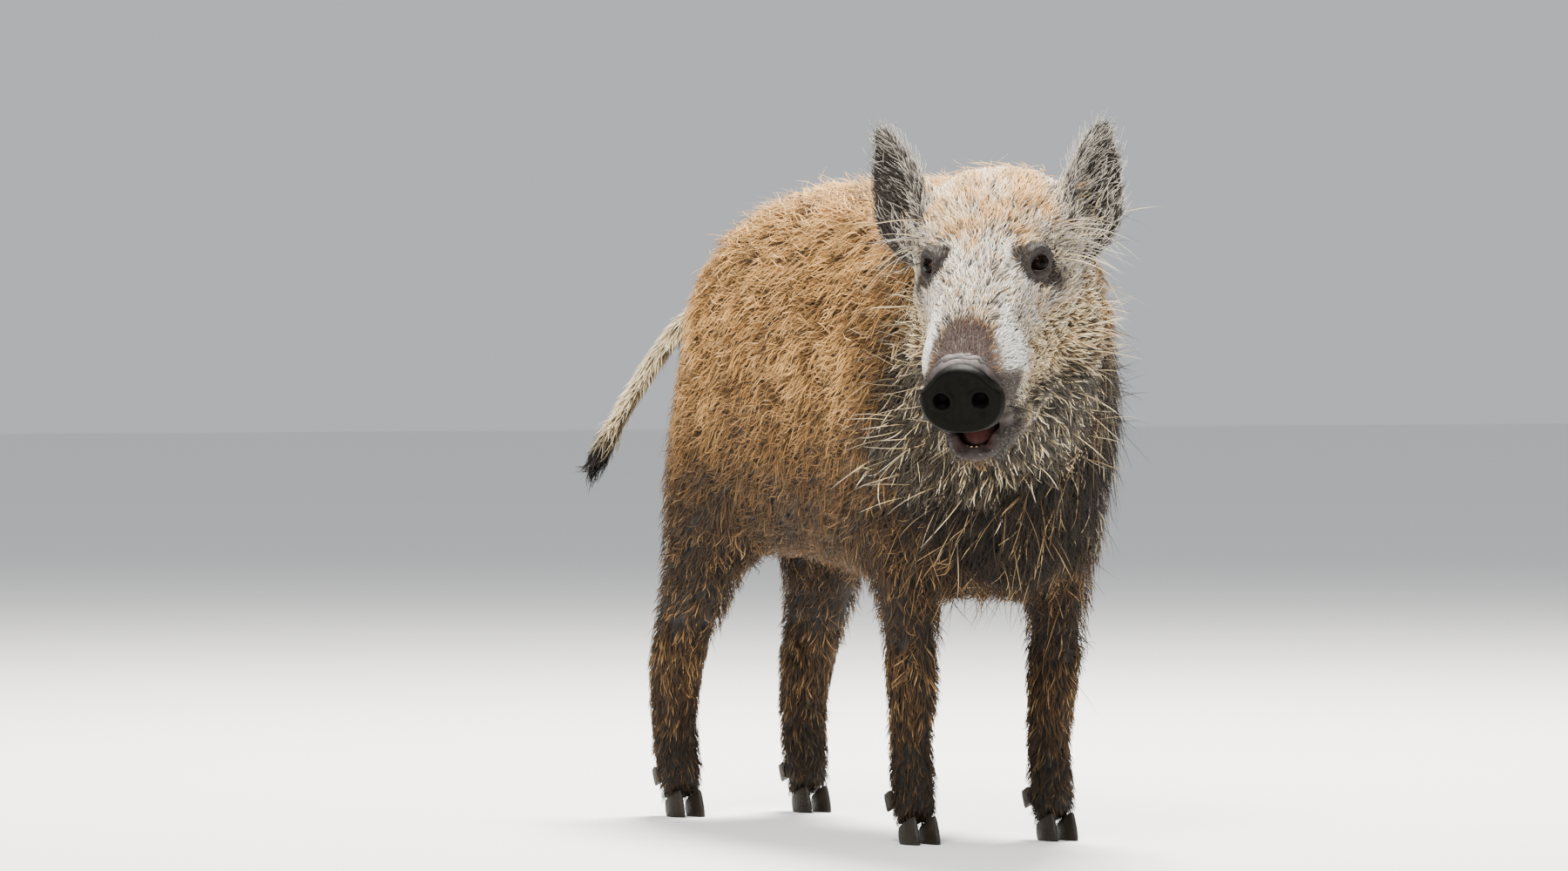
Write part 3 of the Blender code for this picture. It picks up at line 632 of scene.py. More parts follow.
@dataclass
class Finishes:
    """Every material of the boar, made once."""

    hide_pores: float = 700.0
    patch_size: float = 6.0
    patch_strength: float = 0.7
    roughness_span: Pair = (0.8, 1.25)
    pore_strength: float = 0.4
    pore_depth: float = 0.0006

    def __post_init__(self) -> None:
        """Builds the groups and the materials that use them."""
        self.mottle = mottle_group()
        self.pores = pore_group()
        # The hide's colour attribute carries painted shade and a painted highlight; the hair's carries
        # painted shade.
        self.hide = self.marked(Finish("hide", 0.70, 0.30), "hide_colour", 170.0, 0.5, 0.35)
        self.hair = self.marked(Finish("hair", 0.62, 0.12), "hair_colour_and_painted_shade", 240.0, 0.35, 0.0)
        self.disc = self.marked(Finish("snout_gristle", 0.60, 0.05), "hide_colour", 300.0, 0.5, 0.12)
        self.lid = self.marked(Finish("eyelid", 0.55, 0.3), "hide_colour", 400.0, 0.3, 0.3)
        # The tongue's own red, darkened as painted shade inside the mouth.
        self.tongue = self.bare(Finish("tongue", 0.36, 0.4, 0.25, 0.15, 0.10), (94, 56, 51), 1300.0)
        self.teeth = self.bare(Finish("tooth_enamel", 0.25, 0.5, 0.2, 0.1), (150, 134, 106), 500.0)
        self.horn = self.bare(Finish("claw_horn", 0.50, 0.2), (32, 27, 21), 260.0)

    def marked(
        self, finish: Finish, layer: str, size: float, strength: float, pores: float
    ) -> Material:
        """A finish that takes its markings from the mesh.

        Args:
            finish: its name and fixed numbers.
            layer: the colour attribute with the markings.
            size: how fine the mottling is.
            strength: how strong the mottling is.
            pores: how deep the pores are, 0 for none.

        Returns:
            The material.
        """
        material, shader = finish.start()
        graph = Graph(material.node_tree)
        marks = graph.node("ShaderNodeAttribute", attribute_name=layer)
        mottle = graph.group(self.mottle, {"Size": size, "Strength": strength})
        graph.link(marks.outputs["Color"], mottle.inputs["Colour"])
        graph.link(mottle.outputs["Colour"], shader.inputs["Base Color"])
        if pores:
            self.add_pores(graph, shader, self.hide_pores, pores)
        log.info("finish %s", finish.name)
        return material

    def bare(self, finish: Finish, colour: tuple[int, int, int], size: float) -> Material:
        """A finish of one mottled colour with pores.

        Args:
            finish: its name and fixed numbers.
            colour: its colour from 0 to 255.
            size: how fine its pores are.

        Returns:
            The material.
        """
        material, shader = finish.start()
        graph = Graph(material.node_tree)
        patches = {"Size": size / self.patch_size, "Strength": self.patch_strength}
        mottle = graph.group(self.mottle, {"Colour": (*shade(*colour), 1.0), **patches})
        graph.link(mottle.outputs["Colour"], shader.inputs["Base Color"])
        smooth, dull = (finish.roughness * factor for factor in self.roughness_span)
        rough = graph.node("ShaderNodeMapRange", {"To Min": smooth, "To Max": dull})
        graph.link(mottle.outputs["Mask"], rough.inputs[0])
        graph.link(rough.outputs[0], shader.inputs["Roughness"])
        self.add_pores(graph, shader, size, self.pore_strength)
        log.info("finish %s", finish.name)
        return material

    def add_pores(self, graph: Graph, shader: Node, size: float, strength: float) -> None:
        """Adds pore relief to a shader."""
        pores = graph.group(self.pores, {"Size": size})
        bump = graph.node("ShaderNodeBump", {"Strength": strength, "Distance": self.pore_depth})
        graph.link(pores.outputs["Height"], bump.inputs["Height"])
        graph.link(bump.outputs[0], shader.inputs["Normal"])


# ---- markings, shared by skin and coat


@dataclass
class Places:
    """Points on the boar with what the markings and the coat need to know of each."""

    points: Array
    normals: Array
    regions: Array

    # An eye's opening: half widths towards ear and nose, half heights up and down.
    opening_wide = (0.0076, 0.0120)
    opening_high = (0.0098, 0.0072)
    off_ring = 99.0
    nose_slope = 0.44

    def __post_init__(self) -> None:
        """Works out the head's coordinates and the masks."""
        self.head = HEAD.inward(self.points)
        _, y, z = self.head.T
        self.is_head = among(self.regions, Region.HEAD, Region.JAW)
        self.is_jaw = among(self.regions, Region.JAW)
        self.is_ear = among(self.regions, Region.EAR_LEFT, Region.EAR_RIGHT)
        self.is_tail = among(self.regions, Region.TAIL)
        self.is_leg = among(self.regions, Region.LEG_UPPER, Region.LEG_LOWER)
        self.facing = self.normals @ np.array(HEAD.turn())
        self.from_disc = y - (HEAD.disc[1] - np.tan(HEAD.disc_tilt) * (z - HEAD.disc[2]))
        self.eye = self.round_eye()
        t, v, w = self.eye.T
        wide, high = np.where(t > 0, *self.opening_wide), np.where(v > 0, *self.opening_high)
        self.ring = np.hypot(t / wide, v / high)
        self.ring[(w < -0.004) | ~self.is_head] = self.off_ring
        self.nose_top = ramp(z + self.nose_slope * (y + 0.19), -0.085, -0.060)

    def round_eye(self) -> Array:
        """Places about the nearer eye: towards the ear, up, and out of the eye."""
        left, right = (moved(self.points, HEAD.eye_matrix(side).inverted()) for side, _ in SIDES)
        right[:, 0] *= -1
        return np.where(self.head[:, :1] > 0, left, right)

    def pouch(self) -> Array:
        """The soft dark pouch under an eye, 1 at its middle."""
        t, v, w = self.eye.T
        out = hill(np.hypot((t - 0.007 + 0.25 * (v + 0.02)) / 0.016, (v + 0.022) / 0.017), 1.0)
        return out * ramp(w, -0.012, -0.004) * self.is_head * ramp(v, -0.007, -0.011)

    def tear_corner(self) -> Array:
        """The dark hollow in front of an eye, 1 at its middle."""
        t, v, w = self.eye.T
        out = hill(np.hypot((t + 0.021) / 0.009, (v + 0.007) / 0.0065), 1.0)
        return out * ramp(w, -0.015, -0.008) * self.is_head

    def bridge(self) -> Array:
        """The short-haired mauve patch on top of the nose behind the disc."""
        half = 0.034 * np.sqrt(np.clip(1 - (self.from_disc / 0.066) ** 2, 0.02, 1.0))
        wide = ramp(np.abs(self.head[:, 0]) / half, 1.40, 0.70)
        return self.is_head * wide * self.nose_top * ramp(self.from_disc, 0.072, 0.050)

    def behind_disc(self) -> Array:
        """The distance from the disc, wandering as the folds behind it do."""
        return self.from_disc + 0.0016 * ripple(self.head, 0.014, 43)

    def stripe(self) -> Array:
        """The white stripes along both sides of the nose, 1 on them."""
        x, _, z = self.head.T
        along = ramp(self.from_disc, 0.004, 0.014) * ramp(self.from_disc, 0.110, 0.060)
        lower = z + self.nose_slope * (self.from_disc - 0.02) + 0.010 * (x < 0)
        outer = ramp(np.abs(x), 0.026, 0.036) * ramp(lower, -0.074, -0.052)
        return self.is_head * along * outer * (1 - self.bridge())

    def muzzle_side(self) -> Array:
        """The mauve, thinly haired skin between the white stripes and the lips."""
        low = ramp(self.head[:, 2] + 0.30 * self.from_disc, -0.050, -0.068)
        return self.is_head * low * ramp(self.from_disc, 0.075, 0.045)

    def lip_line(self) -> Array:
        """How far above the closed lips each place is, in metres."""
        y, z = self.head[:, 1], self.head[:, 2]
        return z + 0.1225 + 0.10 * np.clip(-y - 0.06, 0.0, 0.2)

    def lips(self) -> Array:
        """The bare dark lips, 1 on them."""
        near = ramp(np.abs(self.lip_line()), 0.013, 0.007)
        return self.is_head * near * ramp(self.head[:, 1], -0.060, -0.085)

    def jaw_rim(self) -> Array:
        """The bare edge of the lower lip round the open front of the mouth."""
        x, y, z = self.head.T
        edge = z - 0.015 * np.clip(np.abs(x) / 0.024, 0, 1) ** 2
        return self.is_jaw * ramp(edge, -0.1585, -0.1540) * ramp(y, -0.112, -0.125)

    def mouth_inside(self) -> Array:
        """1 on the palate and on the floor of the mouth, 0 outside it."""
        x, y, z = self.head.T
        sideways, forward, upward = self.facing.T
        along = ramp(y, -0.075, -0.090) * ramp(self.from_disc, 0.004, 0.010) * ramp(np.abs(x), 0.025, 0.018)
        palate = ramp(upward, -0.55, -0.85) * ramp(z, -0.105, -0.113) * ramp(z, -0.140, -0.130)
        floor = ramp(z, -0.112, -0.122) * ramp(y, -0.164, -0.158) * ramp(z, -0.166, -0.160)
        backed = np.maximum(ramp(upward, 0.1, 0.5), ramp(-x * np.sign(sideways), -0.004, 0.004))
        rear = ramp(forward, 0.2, -0.2)
        inner = np.maximum(backed * rear, ramp(forward, 0.0, 0.4))
        return along * np.maximum(palate, floor * inner * self.is_jaw)

    def bareness(self) -> Array:
        """How bare of hair each place is, from 0 to 1."""
        middle = ramp(np.abs(self.head[:, 0]), 0.030, 0.018)
        folds = ramp(self.from_disc, 0.0145, 0.0095) * middle * self.nose_top
        by_disc = np.maximum(folds, ramp(self.from_disc, 0.003, 0.001))
        chin = ramp(self.from_disc, 0.045, 0.025) * ramp(self.head[:, 2], -0.135, -0.150)
        eyes = ramp(self.ring, 2.15, 1.75)
        shut = self.lips() * ramp(np.abs(self.lip_line()), 0.008, 0.005)
        mouth = np.maximum.reduce([0.3 * self.lips(), 0.4 * shut, self.jaw_rim(), self.mouth_inside()])
        spots = np.maximum.reduce([by_disc, 0.35 * chin, eyes, mouth])
        soft = np.maximum(0.45 * self.pouch(), 0.7 * self.tear_corner())
        return np.clip(self.is_head * np.maximum(spots, soft), 0.0, 1.0)


Steps = Iterator[tuple[tuple[Enum, Enum, Enum], Array]]


class Markings:
    """Which colours hide and hair have; the hair's come in threes, for root, middle and tip."""

    # The hide under the coat takes small shares of the hair's root and middle colours, so it is dark, partly
    # as painted shade between the hairs.
    hair_in_hide = (0.32, 0.06)

    def hide(self, at: Places) -> Array:
        """The hide's colour, kept dark under the coat partly as painted shade between the hairs.

        Args:
            at: places on the skin.

        Returns:
            Linear colours, one to a row.
        """
        root, middle, _ = self.hair(at, np.full(len(at.points), 0.5))
        colour = self.hair_in_hide[0] * root + self.hair_in_hide[1] * middle
        for new, share in self.bare_skin(at):
            colour = self.paint(colour, new, share)
        return colour

    @staticmethod
    def bare_skin(at: Places) -> Iterator[tuple[Enum, Array]]:
        """The head's bare and thinly haired skin.

        Args:
            at: places on the skin.

        Yields:
            A colour, and how much of it each place gets.
        """
        across = np.abs(at.head[:, 0])
        head = at.is_head.astype(float)
        yield Hide.DARK, 0.6 * head
        yield Hide.BRIDGE, at.bridge()
        yield Hide.MAUVE, np.maximum(at.muzzle_side(), 0.9 * at.lips())
        yield Hide.PALE, 0.7 * at.stripe()
        band = head * at.nose_top * ramp(at.from_disc, 0.014, 0.010) * ramp(across, 0.036, 0.026)
        yield Hide.FOLD, band
        yield Hide.PALE, 0.6 * band * ramp(across, 0.026, 0.012)
        back = at.behind_disc()
        # Painted shade: dark lines in the two cracks that the sculpt cuts behind the disc.
        cracks = np.maximum(hill(back - 0.0045, 0.0010), hill(back - 0.0105 - 0.02 * across, 0.0011))
        yield Hide.DARK, head * at.nose_top * cracks * ramp(across, 0.036, 0.026)
        yield Hide.LIP, np.maximum(head * hill(at.lip_line() + 0.009, 0.005) * at.lips(), at.jaw_rim())
        yield Hide.DARK, 0.6 * head * hill(at.lip_line(), 0.0014) * at.lips()
        yield Hide.LID, head * ramp(at.ring, 2.5, 2.1)
        # Painted shade: a dark line in the crease above the upper lid.
        yield Hide.DARK, 0.9 * head * hill(at.ring - 2.00, 0.15) * ramp(at.eye[:, 1], -0.004, 0.004)
        yield Hide.DARK, 0.75 * head * ramp(at.ring, 1.86, 1.70)
        yield Hide.POUCH, np.clip(1.4 * at.pouch(), 0, 1) * ramp(at.ring, 1.2, 1.5)
        yield Hide.DARK, 0.8 * at.tear_corner()
        # Painted shade: the inside of the mouth darkened.
        yield Hide.MOUTH_AND_PAINTED_SHADE, at.mouth_inside()

    @staticmethod
    def paint(colour: Array, new: Enum, share: Array) -> Array:
        """Blends the colours towards a named one."""
        return blend(colour, np.broadcast_to(rgb(new), colour.shape), share)

    @staticmethod
    def scattered(share: Array, tint: Array) -> Array:
        """Turns a soft border into single hairs that have a colour or do not."""
        other = (tint * 97.3) % 1.0
        return ramp(share, other - 0.12, other + 0.12) * ramp(share, 0.0, 0.08)

    def hair(self, at: Places, tint: Array) -> Trio:
        """The hair's colour at its root, along it and at its tip.

        Args:
            at: the roots' places.
            tint: a number from 0 to 1 for each tuft, so that neighbours differ.

        Returns:
            Three rows of linear colours for each place.
        """
        trio = tuple(np.tile(rgb(new), (len(tint), 1)) for new in (Hair.UMBER, Hair.OCHRE, Hair.SAND))
        for marks in (self.body, self.front, self.face, self.ears, self.limbs):
            for colours, share in marks(at, tint):
                trio = tuple(self.paint(old, new, share) for old, new in zip(trio, colours))
        return trio

    def body(self, at: Places, tint: Array) -> Steps:
        """Trunk: ochre flanks, a sandier back, darker patches, a grizzled rump, and darker low flanks, thighs
        and belly, partly painted shade.

        Args:
            at: the roots.
            tint: a number from 0 to 1 for each.

        Yields:
            Colours and their shares.
        """
        _, y, z = at.points.T
        high = ramp(z, BACK_Z - 0.20, BACK_Z - 0.02)
        yield (Hair.BROWN, Hair.OCHRE, Hair.SAND), 0.70 * high * ramp(tint, 0.1, 0.6)
        rust = ramp(ripple(at.points, 0.10, 3), -0.2, 1.0) * ramp(z, BACK_Z - 0.04, BACK_Z - 0.16)
        yield (Hair.UMBER, Hair.RUST, Hair.OCHRE), 0.75 * rust
        dark = ramp(ripple(at.points, 0.060, 4), 0.0, 1.0)
        yield (Hair.DARK, Hair.UMBER, Hair.BROWN), 0.85 * dark * ramp(tint, 0.95, 0.70)
        grain = ramp(ripple(at.points, 0.022, 6), 0.2, 1.2)
        yield (Hair.BROWN, Hair.SAND, Hair.STRAW), 0.55 * grain * ramp(tint, 0.45, 0.8)
        yield (Hair.DARK, Hair.BROWN, Hair.OCHRE), 0.8 * ramp(tint, 0.42, 0.30)
        yield (Hair.BLACK, Hair.DARK, Hair.UMBER), 0.9 * ramp(tint, 0.22, 0.14)
        rump = ramp(y, HIND_Y - 0.02, HIND_Y + 0.10)
        yield (Hair.BLACK, Hair.BROWN, Hair.OCHRE), 0.85 * rump * ramp(tint, 0.97, 0.75)
        # Darker low flanks, thighs and belly: partly the coat's own colour, partly painted shade on the
        # underside.
        low = ramp(z, BELLY_Z + 0.33, BELLY_Z + 0.11)
        low = np.maximum(low, ramp(y, HIND_Y - 0.08, HIND_Y + 0.02) * ramp(z, BELLY_Z + 0.34, BELLY_Z + 0.14))
        yield (Hair.BLACK, Hair.UMBER, Hair.BROWN), 0.88 * low
        belly = ramp(z, BELLY_Z + 0.24, BELLY_Z + 0.08)
        yield (Hair.BLACK, Hair.DARK, Hair.UMBER), 0.86 * belly * ramp(tint, 0.95, 0.85)

    def front(self, at: Places, tint: Array) -> Steps:
        """Neck, shoulders and chest: black and umber hair with straw and white-grey strands.

        Args:
            at: the roots.
            tint: a number from 0 to 1 for each.

        Yields:
            Colours and their shares.
        """
        x, y, z = at.points.T
        wander = 0.02 * ripple(at.points, 0.08, 9)
        side = ramp(y + wander, FORE_Y + 0.05, FORE_Y - 0.03) * ramp(z, BACK_Z - 0.02, BACK_Z - 0.14)
        yield (Hair.BLACK, Hair.UMBER, Hair.BROWN), 0.88 * side * ramp(tint, 0.86, 0.65)
        yield (Hair.DARK, Hair.BROWN, Hair.STRAW), 0.7 * side * ramp(tint, 0.84, 0.94)
        left = ramp(x, MID_X + 0.02, MID_X + 0.10) * ramp(y + wander, FORE_Y + 0.06, FORE_Y - 0.04)
        yield (Hair.BLACK, Hair.DARK, Hair.UMBER), 0.85 * left
        yield (Hair.BLACK, Hair.GREY, Hair.CREAM), 0.55 * left * ramp(tint, 0.88, 0.98)
        under = ramp(y + wander, FORE_Y + 0.01, FORE_Y - 0.06) * ramp(z, 0.64, 0.53)
        yield (Hair.BLACK, Hair.BLACK, Hair.DARK), 0.96 * under * ramp(tint, 0.98, 0.92)
        yield (Hair.BLACK, Hair.SLATE, Hair.STRAW), 0.8 * under * ramp(tint, 0.95, 1.0)
        crest = among(at.regions, Region.NECK) * ramp(z, BACK_Z - 0.10, BACK_Z - 0.03)
        yield (Hair.UMBER, Hair.OCHRE, Hair.SAND), 0.6 * crest

    def face(self, at: Places, tint: Array) -> Steps:
        """Head: tan forehead, grizzled white nose, straw and black cheeks, near-black throat.

        Args:
            at: the roots.
            tint: a number from 0 to 1 for each.

        Yields:
            Colours and their shares.
        """
        x, y, z = at.head.T
        head = at.is_head.astype(float)
        yield (Hair.DARK, Hair.GREY, Hair.CREAM), head
        yield (Hair.DARK, Hair.STRAW, Hair.STRAW), 0.7 * head * ramp(tint, 0.30, 0.20)
        yield (Hair.BLACK, Hair.DARK, Hair.SLATE), 0.9 * head * ramp(tint, 0.78, 0.86)
        wander = 0.010 * ripple(at.head, 0.05, 7)
        crown = head * ramp(z + wander - 0.30 * y, 0.012, 0.040) * ramp(np.abs(x), 0.105, 0.080)
        yield (Hair.UMBER, Hair.SAND, Hair.CREAM), 0.85 * crown * ramp(tint, 0.88, 0.80)
        tan = crown * ramp(ripple(at.head, 0.030, 8), -1.6, 0.0) * ramp(tint, 0.88, 0.80)
        yield (Hair.UMBER, Hair.OCHRE, Hair.SAND), 0.95 * tan
        arcs = head * ramp(at.ring, 2.6, 3.0) * ramp(at.ring, 5.0, 4.0) * ramp(at.eye[:, 1], 0.004, 0.014)
        yield (Hair.GREY, Hair.CREAM, Hair.WHITE), 0.85 * arcs * ramp(tint, 0.95, 0.85)
        nose = head * ramp(y + wander, 0.020, -0.050) * ramp(z + at.nose_slope * y + wander, -0.110, -0.050)
        nose = self.scattered(nose, tint) * ramp(tint, 0.82, 0.77)
        yield (Hair.DARK, Hair.GREY, Hair.WHITE), 0.85 * nose
        yield (Hair.UMBER, Hair.SAND, Hair.CREAM), 0.75 * nose * ramp(tint, 0.30, 0.20)
        yield (Hair.GREY, Hair.WHITE, Hair.WHITE), 0.9 * self.scattered(at.stripe(), tint)
        yield (Hide.BRIDGE, Hide.BRIDGE, Hair.UMBER), self.scattered(at.bridge(), tint)
        rim = at.bridge() * (1 - at.bridge()) * 4.0
        yield (Hair.UMBER, Hair.BROWN, Hair.OCHRE), 0.7 * np.clip(rim, 0, 1) * ramp(tint, 0.7, 0.5)
        yield (Hide.DARK, Hair.SLATE, Hair.GREY), 0.85 * self.scattered(at.muzzle_side(), tint)
        yield (Hide.DARK, Hair.DARK, Hair.SLATE), 0.8 * at.muzzle_side() * ramp(tint, 0.70, 0.60)
        jaw = head * ramp(at.lip_line(), 0.012, 0.004) * ramp(y, -0.070, -0.095)
        yield (Hide.DARK, Hair.SLATE, Hair.GREY), 0.9 * jaw * ramp(tint, 0.97, 0.90)
        yield (Hide.DARK, Hair.DARK, Hair.SLATE), 0.9 * jaw * ramp(tint, 0.75, 0.65)
        cheek = head * ramp(z + wander, -0.035, -0.070) * ramp(y, -0.105, -0.070)
        yield (Hair.DARK, Hair.STRAW, Hair.CREAM), 0.85 * cheek
        yield (Hair.DARK, Hair.BROWN, Hair.OCHRE), 0.85 * cheek * ramp(tint, 0.56, 0.48)
        yield (Hair.BLACK, Hair.DARK, Hair.SLATE), 0.9 * cheek * ramp(tint, 0.34, 0.26)
        low = head * ramp(z, -0.098, -0.136) * np.maximum(ramp(y, -0.105, -0.070), ramp(z, -0.155, -0.168))
        yield (Hair.BLACK, Hair.BLACK, Hair.SLATE), 0.94 * low * ramp(tint, 0.94, 0.84)
        chin = head * ramp(z, -0.158, -0.166) * ramp(y, -0.135, -0.155) * ramp(np.abs(x), 0.020, 0.008)
        yield (Hair.DARK, Hair.BROWN, Hair.RUST), 0.8 * chin
        # Dark hair round each eye and over the pouches and tear corners; round the eye it is partly black
        # hair and partly painted shade under the brow.
        hollows = np.clip(1.6 * np.maximum(at.pouch(), at.tear_corner()), 0, 1)
        dim = np.maximum(head * ramp(at.ring, 2.9, 2.3), hollows)
        yield (Hair.BLACK, Hair.DARK, Hair.SLATE), 0.92 * dim

    def ears(self, at: Places, tint: Array) -> Steps:
        """Ears: near-black inside, crossed by pale hairs, grey at the tips, backs and inner edges.

        Args:
            at: the roots.
            tint: a number from 0 to 1 for each.

        Yields:
            Colours and their shares.
        """
        x, _, z = at.head.T
        ear = at.is_ear.astype(float)
        yield (Hair.BLACK, Hair.SLATE, Hair.SLATE), ear
        left = 0.22 * ramp(x, -0.01, 0.01)
        yield (Hair.DARK, Hair.GREY, Hair.CREAM), 0.9 * ear * ramp(tint + left, 0.86, 0.96)
        pale = ear * np.maximum(ramp(np.abs(x), 0.104, 0.088), 0.7 * ramp(z, 0.075, 0.105))
        yield (Hair.SLATE, Hair.GREY, Hair.CREAM), 0.85 * pale * ramp(tint + left, 0.35, 0.55)

    def limbs(self, at: Places, tint: Array) -> Steps:
        """Legs darker towards the feet and, as painted shade, on their inner sides; a pale tail with a black
        end, darker as painted shade on its side facing down and to the left.

        Args:
            at: the roots.
            tint: a number from 0 to 1 for each.

        Yields:
            Colours and their shares.
        """
        z = at.points[:, 2]
        # Painted shade: the legs' inner sides, facing the other legs, made darker.
        inward = ramp((at.points[:, 0] - MID_X) * at.normals[:, 0], 0.02, -0.02)
        leg = at.is_leg * np.maximum(ramp(z, 0.50, 0.30), 0.8 * inward)
        yield (Hair.BLACK, Hair.DARK, Hair.UMBER), 0.85 * leg
        yield (Hair.DARK, Hair.BROWN, Hair.SAND), 0.50 * leg * ramp(tint, 0.80, 0.94)
        foot = at.is_leg * ramp(z, 0.17, 0.07)
        yield (Hair.BLACK, Hair.BLACK, Hair.DARK), 0.75 * foot
        tail = at.is_tail.astype(float)
        yield (Hair.UMBER, Hair.STRAW, Hair.CREAM), tail
        # Painted shade: the tail darker on the side facing down and to the boar's left, away from the key
        # light.
        under = tail * ramp(at.normals[:, 2] - 0.6 * at.normals[:, 0], 0.1, -0.4)
        yield (Hair.BLACK, Hair.DARK, Hair.BROWN), 0.8 * under
        yield (Hair.BLACK, Hair.BLACK, Hair.SLATE), tail * ramp(z, 0.475, 0.435)


MARKINGS = Markings()


# ---- skin


@dataclass
class Skin:
    """The one skin under the coat, with its folds, pouches, lips and wrinkles."""

    voxel: float = 0.0032
    swell: float = 0.0010
    triangles: int = 96_000
    body_rounds: int = 40
    head_rounds: int = 5
    jaw_rounds: int = 24
    calm_body: float = 0.6
    calm_face: float = 0.5
    calm_ear: float = 0.25
    finest_share: float = 0.04
    share_steps: int = 8
    coat_side: float = 0.0115
    coat_crest: float = 0.0035
    coat_ear: float = 0.0011
    coat_tail: float = 0.0035

    def build(self, finishes: Finishes) -> Object:
        """Joins the flesh nodes, smooths and insets them, and adds the face's folds.

        Args:
            finishes: the boar's materials.

        Returns:
            The skin.
        """
        skin = self.joined()
        self.thin(skin)
        mesh = skin.data
        self.regions = self.nearest_regions(points_of(mesh))
        for wanted in (self.front_of_face, self.folded):
            self.refine(skin, wanted)
            self.regions = self.nearest_regions(points_of(mesh))
        self.soften(mesh)
        self.inset(mesh)
        self.sculpt(mesh)
        dress(mesh, finishes.hide)
        self.places = Places(points_of(mesh), normals_of(mesh), self.regions)
        colour_attribute(mesh, "hide_colour", MARKINGS.hide(self.places))
        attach(skin, "root")
        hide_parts(*FLESH)
        log.info("skin: %d faces", len(mesh.polygons))
        return skin

    def joined(self) -> Object:
        """All the flesh nodes, a little swollen so that they meet, as one surface."""
        whole = bmesh.new()
        for node in FLESH:
            bm = merged(node)
            bm.normal_update()
            for vertex in bm.verts:
                vertex.co += vertex.normal * self.swell
            mesh = bpy.data.meshes.new("part")
            bm.to_mesh(mesh)
            bm.free()
            whole.from_mesh(mesh)
            bpy.data.meshes.remove(mesh)
        skin = new_object("skin", whole)
        remesh(skin, self.voxel)
        bm = bmesh.new()
        bm.from_mesh(skin.data)
        self.drop_islands(bm)
        bm.to_mesh(skin.data)
        bm.free()
        return skin

    @staticmethod
    def drop_islands(bm: BMesh) -> None:
        """Keeps only the largest connected surface.

        Args:
            bm: the surfaces.
        """
        seen: set[BMVert] = set()
        islands = []
        for start in bm.verts:
            if start in seen:
                continue
            seen.add(start)
            stack, island = [start], []
            while stack:
                vertex = stack.pop()
                island.append(vertex)
                for edge in vertex.link_edges:
                    other = edge.other_vert(vertex)
                    if other not in seen:
                        seen.add(other)
                        stack.append(other)
            islands.append(island)
        islands.sort(key=len)
        for island in islands[:-1]:
            bmesh.ops.delete(bm, geom=island, context="VERTS")

    def thin(self, skin: Object) -> None:
        """Spends fewer triangles on the body than on the head and ears.

        Args:
            skin: the skin's object.
        """
        _, hy, hz = HEAD.inward(points_of(skin.data)).T
        weight = np.maximum(ramp(hy, 0.10, 0.17), ramp(hz, -0.20, -0.26))
        group = skin.vertex_groups.new(name="thin")
        steps = np.round(weight * self.share_steps).astype(int)
        for step in range(self.share_steps + 1):
            share = self.finest_share + (1 - self.finest_share) * step / self.share_steps
            group.add(np.flatnonzero(steps == step).tolist(), share, "REPLACE")
        thin = skin.modifiers.new("Thin", "DECIMATE")
        thin.vertex_group = group.name
        thin.vertex_group_factor = 1.0
        thin.ratio = self.triangles / (2 * len(skin.data.polygons))
        apply_modifiers(skin)
        skin.vertex_groups.clear()

    @staticmethod
    def nearest_regions(points: Array) -> Array:
        """The region of the CAD node that each point is nearest to.

        Args:
            points: places, one to a row.

        Returns:
            The regions' numbers.
        """
        places, faces, owners = [], [], []
        for node in FLESH:
            bm = merged(node)
            bm.verts.index_update()
            first = len(places)
            places += [v.co.copy() for v in bm.verts]
            faces += [tuple(first + v.index for v in f.verts) for f in bm.faces]
            owners += [region_of(node).value] * len(bm.faces)
            bm.free()
        tree = BVHTree.FromPolygons(places, faces)
        return np.array([owners[tree.find_nearest(p)[2]] for p in points.tolist()])

    @staticmethod
    def front_of_face(head: Array) -> Array:
        """The face in front of the ears, which is split once more than the rest."""
        x, y, z = head.T
        return (y < 0.012) & (z > -0.20) & (np.abs(x) < 0.085)

    @staticmethod
    def folded(head: Array) -> Array:
        """Where the finest folds lie: behind the disc's top and round the eyes."""
        x, y, z = head.T
        by_disc = (y < -0.162) & (z > -0.075) & (np.abs(x) < 0.040)
        by_eyes = np.hypot(np.abs(x) - 0.064, z - 0.004) < 0.024
        return by_disc | (by_eyes & (np.abs(y) < 0.040))

    def refine(self, skin: Object, wanted: Callable[[Array], Array]) -> None:
        """Splits the faces of part of the head once more.

        Args:
            skin: the skin's object.
            wanted: tells from the head's coordinates which vertices to split between.
        """
        bm = bmesh.new()
        bm.from_mesh(skin.data)
        fine = wanted(HEAD.inward(points_of(skin.data))) & among(self.regions, Region.HEAD, Region.JAW)
        bm.verts.ensure_lookup_table()
        edges = [e for e in bm.edges if fine[e.verts[0].index] and fine[e.verts[1].index]]
        bmesh.ops.subdivide_edges(bm, edges=edges, cuts=1)
        bmesh.ops.triangulate(bm, faces=bm.faces)
        bm.to_mesh(skin.data)
        bm.free()

